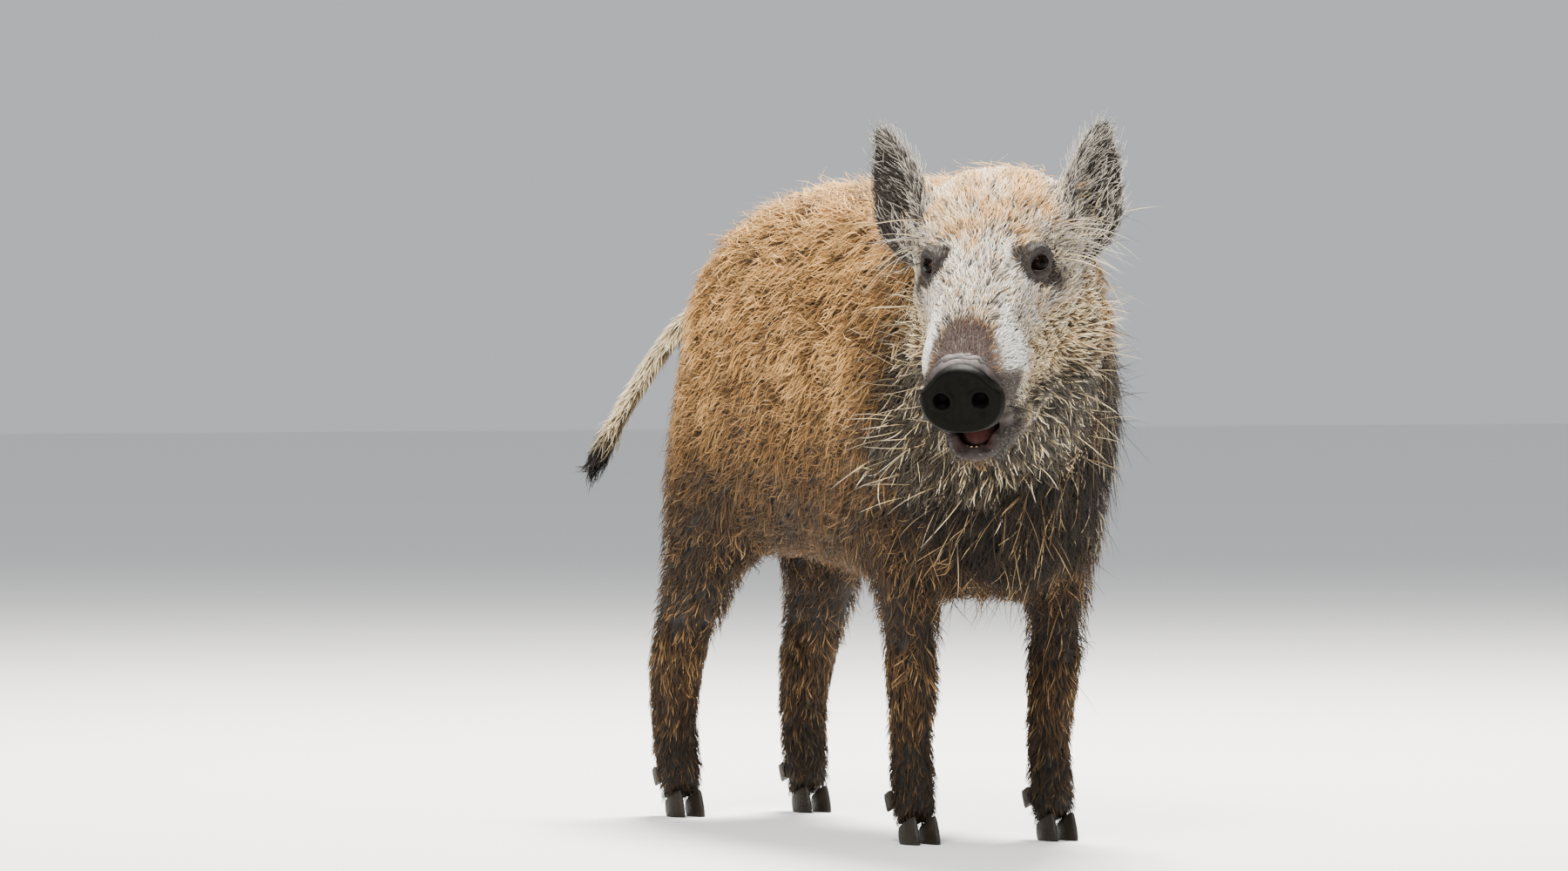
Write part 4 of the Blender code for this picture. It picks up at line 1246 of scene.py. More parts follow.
    def soften(self, mesh: Mesh) -> None:
        """Rounds off the solids' facets, most on the trunk and least round the eyes.

        Args:
            mesh: the skin's mesh.
        """
        points, edges = points_of(mesh), edges_of(mesh)
        at = Places(points, normals_of(mesh), self.regions)
        big = among(self.regions, Region.TRUNK, Region.NECK).astype(float)
        thigh = among(self.regions, Region.LEG_UPPER) * ramp(points[:, 2], 0.26, 0.34)
        throat = at.is_head * np.maximum(ramp(at.head[:, 1], 0.06, 0.12), ramp(at.head[:, 2], -0.19, -0.23))
        big = np.maximum.reduce([big, thigh, throat])
        for _ in range(3):
            big = smoothed(big[:, None], edges, np.ones(len(big)), 6)[:, 0]
        points = smoothed(points, edges, self.calm_body * big, self.body_rounds)
        front = at.is_jaw * ramp(at.head[:, 1], -0.120, -0.135)
        points = smoothed(points, edges, self.calm_body * front, self.jaw_rounds)
        calm = np.where(at.is_ear, self.calm_ear, self.calm_face) * ramp(at.ring, 0.9, 1.5)
        set_points(mesh, smoothed(points, edges, calm, self.head_rounds))

    def coat_depth(self, at: Places) -> Array:
        """How deep the coat lies over the skin.

        Args:
            at: places on the skin.

        Returns:
            The depth at each place, in metres.
        """
        z = at.points[:, 2]
        _, hy, hz = at.head.T
        depth = self.coat_side + self.coat_crest * ramp(z, BACK_Z - 0.08, BACK_Z - 0.01)
        face = 0.0065 - 0.0050 * ramp(hy, 0.02, -0.12) + 0.0045 * ramp(hz - 0.3 * hy, 0.010, 0.035)
        face += 0.0040 * ramp(hy, 0.03, 0.10) + 0.0035 * ramp(hz, -0.06, -0.12) * ramp(hy, -0.06, 0.0)
        depth = np.where(at.is_head, face, depth)
        depth = np.where(at.is_ear, self.coat_ear, depth)
        leg = 0.0026 + 0.0080 * ramp(z, 0.08, 0.36)
        depth = np.where(at.is_leg, np.minimum(leg, depth), depth)
        depth = np.where(at.is_tail, self.coat_tail, depth)
        depth *= 1 - 0.95 * at.bareness()
        return depth * ramp(at.ring, 1.3, 2.9)

    def inset(self, mesh: Mesh) -> None:
        """Moves the skin in by the coat's depth.

        Args:
            mesh: the skin's mesh.
        """
        points, edges = points_of(mesh), edges_of(mesh)
        normals = normals_of(mesh)
        depth = self.coat_depth(Places(points, normals, self.regions)) + self.swell
        depth = smoothed(depth[:, None], edges, np.full(len(depth), 0.8), 6)
        set_points(mesh, points - normals * depth)

    def sculpt(self, mesh: Mesh) -> None:
        """Raises lids, pouches, lips and the folds behind the snout disc.

        Args:
            mesh: the skin's mesh.
        """
        points, normals = points_of(mesh), normals_of(mesh)
        at = Places(points, normals, self.regions)
        push = self.round_eyes(at) + self.behind_disc(at) + self.round_mouth(at)
        up = HEAD.directions(np.array([[0.0, 0.0, 1.0]]))
        set_points(mesh, points + normals * push[:, None] + up * self.mouth_corners(at)[:, None])

    @staticmethod
    def mouth_corners(at: Places) -> Array:
        """How far the lower lip rises at each side to meet the upper one."""
        x, y, z = at.head.T
        lift = 0.0150 * ramp(y, -0.162, -0.148) * np.clip(np.abs(x) / 0.024, 0, 1) ** 2
        lift = np.minimum(lift, 0.22 * np.clip(-y - 0.106, 0.0, 0.1))
        return lift * at.is_jaw * ramp(z, -0.172, -0.152)

    @staticmethod
    def round_eyes(at: Places) -> Array:
        """The folds over the lids, the pouches under them and the hollows in front.

        Args:
            at: places on the skin.

        Returns:
            Their height at each place.
        """
        t, v, w = at.eye.T
        above = ramp(v + 0.15 * t, -0.003, 0.005)
        ring = at.ring
        folds = 0.0024 * hill(ring - 1.80, 0.30) - 0.0012 * hill(ring - 2.26, 0.15)
        folds = above * (folds - 0.0006 * hill(ring - 1.34, 0.10))
        folds = folds + (1 - above) * (0.0012 * hill(ring - 1.60, 0.25) - 0.0010 * hill(ring - 2.10, 0.18))
        waves = np.hypot(t + 0.004, v - 0.002) * 2 * math.pi / 0.0042
        crinkle = np.sin(waves + 1.5 * ripple(at.head, 0.02, 41))
        pouches = at.pouch() * (0.0020 + 0.0005 * crinkle)
        return folds * ramp(w, -0.006, 0.000) + pouches - 0.0020 * at.tear_corner()

    @staticmethod
    def behind_disc(at: Places) -> Array:
        """The folds and cracks between the snout disc and the nose bridge.

        Args:
            at: places on the skin.

        Returns:
            Their height at each place.
        """
        x = at.head[:, 0]
        back = at.behind_disc()
        middle = ramp(np.abs(x), 0.036, 0.022)
        push = 0.0006 * hill(back - 0.0020, 0.0022) + 0.0012 * hill(back - 0.0085, 0.0034)
        push -= 0.0020 * hill(back - 0.0045, 0.0010) + 0.0020 * hill(back - 0.0105 - 0.02 * np.abs(x), 0.0011)
        push += 0.0005 * hill(back - 0.0165, 0.0030)
        push -= 0.0009 * hill(back - 0.0090, 0.0006) * ramp(x, 0.002, 0.008)
        return push * middle * at.nose_top * at.is_head

    @staticmethod
    def round_mouth(at: Places) -> Array:
        """The lips, the muzzle's side creases and the canines' bulge.

        Args:
            at: places on the skin.

        Returns:
            Their height at each place.
        """
        x, y, z = at.head.T
        line = at.lip_line()
        lips = at.lips()
        edges = 0.0016 * hill(line - 0.006, 0.004) + 0.0018 * hill(line + 0.006, 0.0045)
        push = lips * (edges - 0.0022 * hill(line, 0.0017))
        push += 0.0030 * hill(y + 0.125, 0.030) * hill(z + 0.098, 0.014) * ramp(np.abs(x), 0.018, 0.034)
        waves = (y * 0.9 + z * 0.6) * 2 * math.pi / 0.009
        crease = np.sin(waves + 2.5 * ripple(at.head, 0.05, 21))
        push += 0.0004 * crease * at.muzzle_side() * (1 - lips)
        return push * at.is_head


# ---- coat


class Lie(Enum):
    """How many rings a kind of tuft has, and how its width goes from root to tip."""

    SHORT = (0.85, 0.75)
    LOCK = (0.80, 1.00, 0.62)
    LONG = (0.75, 1.00, 0.88, 0.52)
    BRISTLE = (1.00, 0.95, 0.85, 0.70, 0.42)


@dataclass(frozen=True)
class Tufts:
    """One kind of tuft: its sizes in metres, how it stands and how it wanders."""

    lie: Lie
    spacing: float
    length: float
    width: float
    lift: float
    stand: float
    wave: float = 0.0
    spread: float = 0.2
    bend: float = 0.10
    droop: float = 0.0
    tint: Pair = (0.0, 1.0)
    clump: float = 0.0
    clump_size: float = 0.012
    seed: int = 1


@dataclass
class Strands:
    """Roots ready to be grown: where, which way, how long and how wide."""

    at: Places
    heading: Array
    length: Array
    width: Array
    tint: Array


class Coat:
    """Grows tufts on the skin and keeps them as joined meshes."""

    beyond_box = 0.012
    oversampling = 2.6
    own_lock_share = 0.45
    # How far a tuft may sink, where it is raised to, and how much higher than meant it may stand.
    sunk, raised = 0.0015, 0.0025
    looseness, play, drawn_in = 1.6, 0.002, 0.8
    # A tuft's section, below and above its middle line, as shares of its half width.
    below, above = 0.35, 0.55
    # The shares of a tuft below and above its middle colour; the long dark lower share is partly the hair's
    # own dark root and partly painted shade deep in the coat.
    middle_at, rest = 0.42, 0.58
    unevenness = 0.27
    patch = 0.003

    def __init__(self, skin: Object, places: Places, finishes: Finishes) -> None:
        """Measures the skin's triangles.

        Args:
            skin: the skin's object.
            places: facts of the skin's vertices.
            finishes: the boar's materials.
        """
        self.finishes = finishes
        self.places = places
        mesh = skin.data
        mesh.calc_loop_triangles()
        self.corners = values_of(mesh.loop_triangles, "vertices", 3, np.int64)
        a, b, c = (places.points[self.corners[:, k]] for k in range(3))
        self.areas = np.linalg.norm(np.cross(b - a, c - a), axis=1) / 2
        self.tree = BVHTree.FromPolygons(places.points.tolist(), self.corners.tolist())
        self.total = 0

    def roots(self, mask: Array, kind: Tufts) -> tuple[Places, Array]:
        """Scatters roots evenly over part of the skin.

        Args:
            mask: how much of the full density each vertex has, from 0 to 1.
            kind: the tufts' sizes.

        Returns:
            The roots' places, and the random tint of each.
        """
        rng = np.random.default_rng(kind.seed)
        share = mask[self.corners].mean(axis=1)
        weight = self.areas * (share > 0.02)
        wanted = int(self.oversampling * weight.sum() / kind.spacing**2)
        chosen = rng.choice(len(weight), wanted, p=weight / weight.sum())
        first, second = rng.random(wanted), rng.random(wanted)
        flip = first + second > 1
        first[flip], second[flip] = 1 - first[flip], 1 - second[flip]
        weights = np.stack([1 - first - second, first, second], axis=1)[:, :, None]
        corners = self.corners[chosen]
        points = (self.places.points[corners] * weights).sum(axis=1)
        normals = unit((self.places.normals[corners] * weights).sum(axis=1))
        density = (mask[corners] * weights[:, :, 0]).sum(axis=1)
        cells = np.floor(points / kind.spacing).astype(np.int64)
        _, kept = np.unique(cells, axis=0, return_index=True)
        kept = kept[rng.random(len(kept)) < density[kept]]
        regions = self.places.regions[corners[kept, 0]]
        low, high = kind.tint
        return Places(points[kept], normals[kept], regions), rng.uniform(low, high, len(kept))

    @staticmethod
    def flow(at: Places) -> Array:
        """The lie of the coat: which way the hair runs at each place.

        Args:
            at: places on the skin.

        Returns:
            Directions along the skin, one long.
        """
        x, y, z = at.points.T
        out = (x - MID_X) / 0.1
        flow = columns(0.0, 1.0, -0.50 - 0.45 * ramp(z, BACK_Z - 0.02, BACK_Z - 0.20))
        flow[:, 2] *= 1 - 0.5 * ramp(z, BELLY_Z + 0.08, BELLY_Z)
        rump = ramp(y, HIND_Y - 0.08, HIND_Y + 0.08)
        chest = ramp(y, FORE_Y - 0.02, FORE_Y - 0.12) * ramp(z, 0.62, 0.50)
        for way, share in (
            (columns(0.3 * out, 0.3, -1.0), rump),
            (columns(0.25 * out, 0.25, -1.0), chest),
            (np.array([0.0, 0.18, -1.0]), at.is_leg * ramp(z, 0.42, 0.30)),
            (Coat.head_flow(at), at.is_head),
            (Coat.ear_flow(at), at.is_ear),
            (np.array([-0.55, 0.0, -0.85]), at.is_tail),
        ):
            flow = blend(flow, way, share)
        flow = Coat.round_the_eyes(at, unit(flow))
        body = ~(at.is_ear | at.is_head | at.is_tail)[:, None]
        broad, fine = wandering(at.points, 0.07, 31), wandering(at.points, 0.024, 34)
        flow = unit(flow) + np.where(body, 0.26, 0.08) * broad + np.where(body, 0.34, 0.14) * fine
        return unit(along_skin(flow, at.normals))

    @staticmethod
    def round_the_eyes(at: Places, flow: Array) -> Array:
        """Turns the hair beside the eyes so that none of it grows over them.

        Args:
            at: the roots.
            flow: the lie of the coat.

        Returns:
            The new lie.
        """
        side = np.sign(at.head[:, :1])
        left, right = (np.array(HEAD.eye_matrix(k).translation) for k in (1, -1))
        away = unit(at.points - np.where(side > 0, left, right))
        toward = np.minimum((flow * away).sum(axis=1), 0.0)
        near = ramp(at.ring, 4.2, 2.8)
        return unit(flow + away * (near * (0.45 - 1.35 * toward))[:, None])

    @staticmethod
    def head_flow(at: Places) -> Array:
        """The lie on the head: up and out from the nose, back over the crown, down on the throat.

        Args:
            at: the roots.

        Returns:
            Directions of the body.
        """
        x, y, z = at.head.T
        side = np.sign(x) * ramp(np.abs(x), 0.0, 0.035)
        local = columns(0.55 * side, 1.0, 0.35)
        for share, (out, back, up) in (
            (ramp(z - 0.3 * y, 0.015, 0.045), (0.35, 1.0, 0.55)),
            (ramp(z, -0.025, -0.070), (0.45, 1.0, -0.15)),
            (ramp(z, -0.085, -0.120), (0.45, 1.0, -0.55)),
            (ramp(z, -0.135, -0.175), (0.20, 0.6, -0.9)),
        ):
            local = blend(local, columns(out * side, back, up), share)
        return HEAD.directions(local)

    @staticmethod
    def ear_flow(at: Places) -> Array:
        """The lie on the ears: from the root to the tip and outwards."""
        side = np.where(among(at.regions, Region.EAR_LEFT), 1.0, -1.0)
        inner = ramp(-at.facing[:, 1], 0.0, 0.5)
        return HEAD.directions(columns(side * (0.25 + 0.6 * inner), 0.10, 1.0))

    def grow(
        self,
        name: str,
        mask: Array,
        kind: Tufts,
        slot: str,
        scale: Array | None = None,
        heading: Array | None = None,
    ) -> None:
        """Makes one joined piece of tufts.

        Args:
            name: the piece's name.
            mask: density for each of the skin's vertices, from 0 to 1.
            kind: the tufts' sizes.
            slot: not used.
            scale: a factor on the length for each of the skin's vertices, or None.
            heading: a direction to follow in place of the coat's lie, or None.
        """
        at, tint = self.roots(mask, kind)
        rng = np.random.default_rng(kind.seed + 1000)
        count = len(tint)
        lock = self.locks(at, kind.clump_size)
        shared = rng.random(count) < self.own_lock_share
        tint = np.where(shared, rng.uniform(*kind.tint, lock.max() + 1)[lock], tint)
        grown = np.ones(count) if scale is None else self.sampled(scale, at.points)
        length = kind.length * grown * rng.uniform(0.65, 1.25, count)
        width = kind.width * np.sqrt(grown) * rng.uniform(0.65, 1.35, count)
        way = self.flow(at)
        if heading is not None:
            way = unit(along_skin(way * 0.25 + heading, at.normals))
        across = np.cross(at.normals, way)
        angle = rng.normal(0.0, kind.spread, count)[:, None]
        way = way * np.cos(angle) + across * np.sin(angle)
        self.raise_tufts(name, Strands(at, way, length, width, tint), kind, rng)

    def raise_tufts(
        self, name: str, strands: Strands, kind: Tufts, rng: np.random.Generator
    ) -> None:
        """Makes a piece from roots that are ready.

        Args:
            name: the piece's name.
            strands: the roots and their sizes.
            kind: how the tufts stand.
            rng: random numbers.
        """
        leaning = (strands.heading + strands.at.normals * (0.1 + 1.2 * kind.stand))[:, 0]
        reach = np.abs(strands.at.points[:, 0] + leaning * strands.length)
        over = np.clip(reach - CAD_BOX[1][0] - self.beyond_box, 0.0, None)
        strands.length -= np.minimum(over / np.maximum(np.abs(leaning), 0.2), 0.8 * strands.length)
        across = np.cross(strands.at.normals, strands.heading)
        spine = self.spines(strands, across, kind, rng)
        points, faces = self.prisms(spine, strands.at.normals, across, strands.width, kind.lie.value)
        colours = self.colours(strands, len(kind.lie.value), rng)
        self.piece(name, points, faces, colours, strands.at)

    def sampled(self, values: Array, points: Array) -> Array:
        """A skin value at each root, from the nearest triangle."""
        found = [self.tree.find_nearest(p)[2] for p in points.tolist()]
        return values[self.corners[found, 0]]

    def spines(self, strands: Strands, across: Array, kind: Tufts, rng: np.random.Generator) -> Array:
        """The middle lines of the tufts.

        Args:
            strands: the roots and their sizes.
            across: sideways to each.
            kind: how the tufts stand.
            rng: random numbers.

        Returns:
            The places of each tuft's rings and tip.
        """
        rings = len(kind.lie.value)
        length, normals = strands.length, strands.at.normals
        count = len(length)
        lift = kind.lift * rng.uniform(0.6, 1.4, count) * np.clip(length / kind.length, 0.3, 1.2)
        stand = kind.stand * rng.uniform(0.4, 1.6, count)
        points, size = strands.at.points, kind.clump_size
        phase = 3.0 * ripple(points, 2.2 * size, 57) + rng.normal(0.0, 0.6, count)
        swing = kind.wave * length * rng.uniform(0.6, 1.4, count)
        bend = kind.bend * length * (0.6 * ripple(points, 3.0 * size, 58) + rng.normal(0.0, 0.6, count))
        pull = kind.clump * self.gathered(strands.at, size)
        spine = np.empty((count, rings + 1, 3))
        for k in range(rings + 1):
            t = k / rings
            along = length * t * (1 - 0.10 * t)
            rise = lift * (1 - math.exp(-4.0 * t)) + length * stand * t - 0.0010 * (k == 0)
            sideways = swing * (np.sin(phase + 3.4 * t) - np.sin(phase)) + bend * t * t
            spine[:, k] = points + strands.heading * along[:, None] + normals * rise[:, None]
            spine[:, k] += across * sideways[:, None] + pull * t * t
            spine[:, k, 2] -= kind.droop * length * t * t
        if kind.lie in (Lie.LOCK, Lie.LONG):
            self.hug(spine, lift + 0.5 * length * stand)
        elif kind.lie is Lie.BRISTLE:
            self.hug(spine, np.full(count, 1.0))
        return spine

    @staticmethod
    def locks(at: Places, size: float) -> Array:
        """Which lock each root belongs to."""
        wander = 0.5 * size * wandering(at.points, 2.5 * size, 51)
        cells = np.floor((at.points + wander) / size).astype(np.int64)
        return np.unique(cells, axis=0, return_inverse=True)[1].ravel()

    @staticmethod
    def gathered(at: Places, size: float) -> Array:
        """How far each root lies from the middle of its lock, along the skin."""
        lock = Coat.locks(at, size)
        total = np.bincount(lock)
        middle = np.stack([np.bincount(lock, at.points[:, k]) / total for k in range(3)], 1)[lock]
        return along_skin(middle - at.points, at.normals)

    def hug(self, spine: Array, height: Array) -> None:
        """Keeps each tuft's outer half over the skin, and no higher than it should stand.

        Args:
            spine: the middle lines, which are moved.
            height: how high each tuft should stand.
        """
        rings = spine.shape[1] - 1
        for k in range(rings // 2, rings + 1):
            for i, point in enumerate(spine[:, k].tolist()):
                near, normal, _, _ = self.tree.find_nearest(point)
                offset = Vector(point) - near
                above = offset.dot(normal)
                high = height[i] * self.looseness
                if above < self.sunk:
                    spine[i, k] += np.array(normal) * (self.raised - above)
                elif above > high + self.play:
                    spine[i, k] -= np.array(normal) * self.drawn_in * (above - high - self.play)

    def prisms(
        self, spine: Array, normals: Array, across: Array, width: Array, taper: tuple[float, ...]
    ) -> tuple[Array, Array]:
        """Closed three-sided tapering tufts.

        Args:
            spine: the middle lines.
            normals: the skin's outward direction at each root.
            across: sideways to each tuft.
            width: the greatest width of each.
            taper: the share of the width at each ring.

        Returns:
            Points, and faces of three, tuft after tuft.
        """
        rings = len(taper)
        count = len(width)
        each = 3 * rings + 1
        points = np.empty((count, each, 3))
        for k in range(rings):
            half = (width * taper[k] / 2)[:, None]
            centre = spine[:, k]
            points[:, 3 * k] = centre - across * half - normals * half * self.below
            points[:, 3 * k + 1] = centre + across * half - normals * half * self.below
            points[:, 3 * k + 2] = centre + normals * half * self.above
        points[:, -1] = spine[:, rings]
        pattern = [(0, 2, 1)]
        for k in range(rings - 1):
            for i in range(3):
                j = (i + 1) % 3
                a, b, c, d = 3 * k + i, 3 * k + j, 3 * k + 3 + j, 3 * k + 3 + i
                pattern += [(a, b, c), (a, c, d)]
        last = 3 * (rings - 1)
        pattern += [(last + i, last + (i + 1) % 3, 3 * rings) for i in range(3)]
        faces = (np.arange(count)[:, None, None] * each + np.array(pattern)[None]).reshape(-1, 3)
        return points.reshape(-1, 3), faces

    def colours(self, strands: Strands, rings: int, rng: np.random.Generator) -> Array:
        """Colours for the tufts' points, dark at the root and pale at the tip; the dark roots are partly
        painted shade deep in the coat.

        Args:
            strands: the roots.
            rings: rings of points in a tuft.
            rng: random numbers.

        Returns:
            A colour for each point.
        """
        root, middle, tip = MARKINGS.hair(strands.at, strands.tint)
        count = len(strands.tint)
        gain = rng.normal(1.0, self.unevenness, (count, 1)).clip(0.3, 1.8)
        rows = np.empty((count, 3 * rings + 1, 3))
        for k in range(rings + 1):
            t = k / rings
            low = blend(root, middle, np.full(count, min(1.0, t / self.middle_at)))
            colour = blend(low, tip, np.full(count, max(0.0, (t - self.middle_at) / self.rest))) * gain
            rows[:, 3 * k : 3 * k + 3] = colour[:, None]
        return rows.reshape(-1, 3)

    def piece(
        self, name: str, points: Array, faces: Array, colours: Array, at: Places
    ) -> None:
        """Makes an object from the tufts' arrays.

        Args:
            name: the piece's name.
            points: the tufts' points.
            faces: their triangles.
            colours: a colour for each point.
            at: the roots.
        """
        mesh = bpy.data.meshes.new(name)
        mesh.vertices.add(len(points))
        mesh.vertices.foreach_set("co", points.ravel())
        mesh.loops.add(faces.size)
        mesh.loops.foreach_set("vertex_index", faces.ravel())
        mesh.polygons.add(len(faces))
        mesh.polygons.foreach_set("loop_start", np.arange(0, faces.size, 3))
        mesh.polygons.foreach_set("loop_total", np.full(len(faces), 3))
        mesh.update(calc_edges=True)
        mesh.shade_smooth()
        each = len(points) // len(at.points)
        self.soft_shading(mesh, np.repeat(at.normals, each, axis=0))
        colour_attribute(mesh, "hair_colour_and_painted_shade", colours)
        self.bake_map(mesh, faces, at, each)
        mesh.materials.append(self.finishes.hair)
        obj = bpy.data.objects.new(name, mesh)
        bpy.context.scene.collection.objects.link(obj)
        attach(obj, "root")
        self.total += len(faces)
        log.info("%s: %d tufts, %d triangles", name, len(at.points), len(faces))

    @staticmethod
    def soft_shading(mesh: Mesh, outward: Array) -> None:
        """Shades the tufts partly as the hide under them, so that they read as one soft coat."""
        own = values_of(mesh.vertex_normals, "vector", 3, np.float32)
        mesh.normals_split_custom_set_from_vertices(unit(0.7 * own + 0.7 * outward).tolist())

    def bake_map(self, mesh: Mesh, faces: Array, at: Places, each: int) -> None:
        """The OFBake map: each tuft a small patch at its root's place on an unwrap of the skin.

        Args:
            mesh: the tufts' mesh.
            faces: its triangles.
            at: the roots.
            each: points in a tuft.
        """
        flat = unwrap(at)
        low, high = flat.min(axis=0), flat.max(axis=0)
        flat = self.patch + (flat - low) / (high - low) * (1 - 2 * self.patch)
        place = np.arange(each) // 3 / (each // 3)
        turn = np.arange(each) % 3 / 2
        offset = (columns(turn, place) - 0.5) * self.patch
        uv = (flat[:, None] + offset[None]).reshape(-1, 2)
        layer = mesh.uv_layers.new(name="OFBake")
        layer.data.foreach_set("uv", uv[faces.ravel()].ravel())


def unwrap(at: Places) -> Array:
    """Lays the skin out flat, each region rolled off its own axis.

    Args:
        at: places on the skin.

    Returns:
        Two coordinates for each place.
    """
    x, y, z = at.points.T
    hx, hy, hz = at.head.T
    around = np.arctan2(x - MID_X, z - 0.48) / math.pi
    flat = columns(around * 0.5, (y - FORE_Y) / 1.2)
    head = columns(np.arctan2(hx, hz + 0.075) / math.pi * 0.4, hy / 0.6 - 0.45)
    flat = np.where(at.is_head[:, None], head, flat)
    side = np.where(among(at.regions, Region.EAR_LEFT), 1.0, -1.0)
    behind = np.where(at.facing[:, 1] < 0, 0.0, 0.12)
    ear = columns(side * (0.55 + hy + behind), hz * 1.2 - 0.8)
    flat = np.where(at.is_ear[:, None], ear, flat)
    left, hind = np.where(x > MID_X, 1.0, -1.0), np.where(y > MID_Y, 1.0, 0.0)
    axis_y = np.where(hind > 0, HIND_Y, FORE_Y) + 0.02
    roll = np.arctan2(x - MID_X - left * 0.088, y - axis_y) / math.pi
    leg = columns(left * 0.75 + roll * 0.12, hind * 0.5 + z)
    flat = np.where(at.is_leg[:, None], leg, flat)
    tail = columns(0.05 * np.arctan2(at.normals[:, 0], at.normals[:, 1]), 0.75 - z)
    return np.where(at.is_tail[:, None], tail, flat)


@dataclass
class Groom:
    """Covers the boar with its hair, piece by piece."""

    coat: Coat

    def __post_init__(self) -> None:
        """Works out the masks that the pieces share."""
        at = self.coat.places
        x, y, _ = at.points.T
        self.haired = 1.0 - at.bareness()
        self.left = (x > MID_X).astype(float)
        self.trunk = among(at.regions, Region.TRUNK, Region.LEG_UPPER).astype(float)
        self.neck = among(at.regions, Region.NECK).astype(float)
        self.front = ramp(y, MID_Y + 0.001, MID_Y - 0.001)
        hy, hz = at.head[:, 1], at.head[:, 2]
        cheek = ramp(hy + 0.5 * (-hz - 0.06), 0.035, 0.065) * ramp(hz, 0.050, 0.010)
        self.back_head = np.maximum(cheek, ramp(hz, -0.150, -0.180))

    def build(self) -> None:
        """Grows every piece."""
        for part in (
            self.flanks, self.fore, self.face, self.ears, self.legs, self.tail, self.bristles
        ):
            part()
        log.info("coat: %d triangles", self.coat.total)

    def flanks(self) -> None:
        """Wavy locks over the trunk and the tops of the legs, in four pieces."""
        at = self.coat.places
        z = at.points[:, 2]
        upper = self.trunk * ramp(z, 0.20, 0.24)
        sizes = 1.0 + 0.15 * ripple(at.points, 0.09, 5) - 0.35 * ramp(z, 0.34, 0.22)
        lock = Tufts(
            Lie.LOCK, spacing=0.0047, length=0.028, width=0.0014, lift=0.0085, stand=0.10, wave=0.20,
            spread=0.24, bend=0.25, clump=0.6, clump_size=0.013, seed=11,
        )
        for word, side in (("left", self.left), ("right", 1 - self.left)):
            for end, part in (("front", self.front), ("rear", 1 - self.front)):
                self.coat.grow(f"coat_flank_{word}_{end}", upper * (side * part), lock, "coat_tan", sizes)

    def fore(self) -> None:
        """Longer hair on the neck, throat and cheeks."""
        at = self.coat.places
        ruff = Tufts(
            Lie.LONG, spacing=0.0050, length=0.038, width=0.0014, lift=0.0085, stand=0.08, wave=0.10,
            spread=0.16, bend=0.18, droop=0.05, clump=0.45, clump_size=0.014, seed=12,
        )
        self.coat.grow("coat_neck", self.neck, ruff, "coat_tan")
        cheek = Tufts(
            Lie.LONG, spacing=0.0040, length=0.028, width=0.0012, lift=0.0050, stand=0.09, wave=0.08,
            spread=0.14, bend=0.16, droop=0.05, clump=0.4, clump_size=0.010, seed=13,
        )
        self.coat.grow("coat_cheeks", at.is_head * self.haired * self.back_head, cheek, "coat_grey")

    def face(self) -> None:
        """Short hair of the face, finest on the muzzle, in two pieces."""
        at = self.coat.places
        hx, hy, hz = at.head.T
        short = Tufts(
            Lie.LOCK, spacing=0.00235, length=0.0168, width=0.00095, lift=0.0017, stand=0.05, wave=0.08,
            spread=0.11, bend=0.14, clump=0.3, clump_size=0.0065, seed=14,
        )
        scale = 1.0 + 0.45 * ramp(hz - 0.3 * hy, 0.010, 0.045) + 0.35 * ramp(hy, -0.03, 0.05)
        scale -= 0.42 * ramp(hy, -0.08, -0.15)
        scale *= 1 - 0.45 * np.maximum(at.bridge(), at.muzzle_side())
        scale *= 0.45 + 0.55 * ramp(at.ring, 2.1, 3.4)
        mask = at.is_head * self.haired * (1 - self.back_head)
        for word, half in (("left", hx > 0), ("right", hx <= 0)):
            self.coat.grow(f"coat_face_{word}", mask * half, short, "coat_grey", scale)

    def ears(self) -> None:
        """Short hair on both sides of the ears, and a longer fringe."""
        at = self.coat.places
        ear = at.is_ear.astype(float)
        sizes = 1 - 0.45 * ramp(at.head[:, 2], 0.09, 0.13)
        fur = Tufts(
            Lie.SHORT, spacing=0.0027, length=0.0120, width=0.0009, lift=0.0012, stand=0.10,
            spread=0.18, seed=15,
        )
        self.coat.grow("coat_ears", ear, fur, "coat_grey", sizes)
        fringe = Tufts(
            Lie.LONG, spacing=0.0062, length=0.026, width=0.0008, lift=0.0012, stand=0.30, wave=0.05,
            spread=0.35, bend=0.20, tint=(0.7, 1.0), seed=25,
        )
        self.coat.grow("coat_ear_fringe", ear, fringe, "coat_grey", sizes)

    def legs(self) -> None:
        """Close hair on the legs down to the claws."""
        at = self.coat.places
        z = at.points[:, 2]
        leg = Tufts(
            Lie.SHORT, spacing=0.0034, length=0.0200, width=0.0016, lift=0.0026, stand=0.08,
            spread=0.15, bend=0.14, seed=16,
        )
        lower = among(at.regions, Region.LEG_LOWER).astype(float)
        mask = np.maximum(lower, self.trunk * ramp(z, 0.24, 0.20)) * ramp(z, 0.018, 0.026)
        sizes = 1.0 + 0.3 * ramp(z, 0.10, 0.22) - 0.20 * ramp(z, 0.08, 0.05)
        self.coat.grow("coat_legs", mask, leg, "coat_dark", sizes)

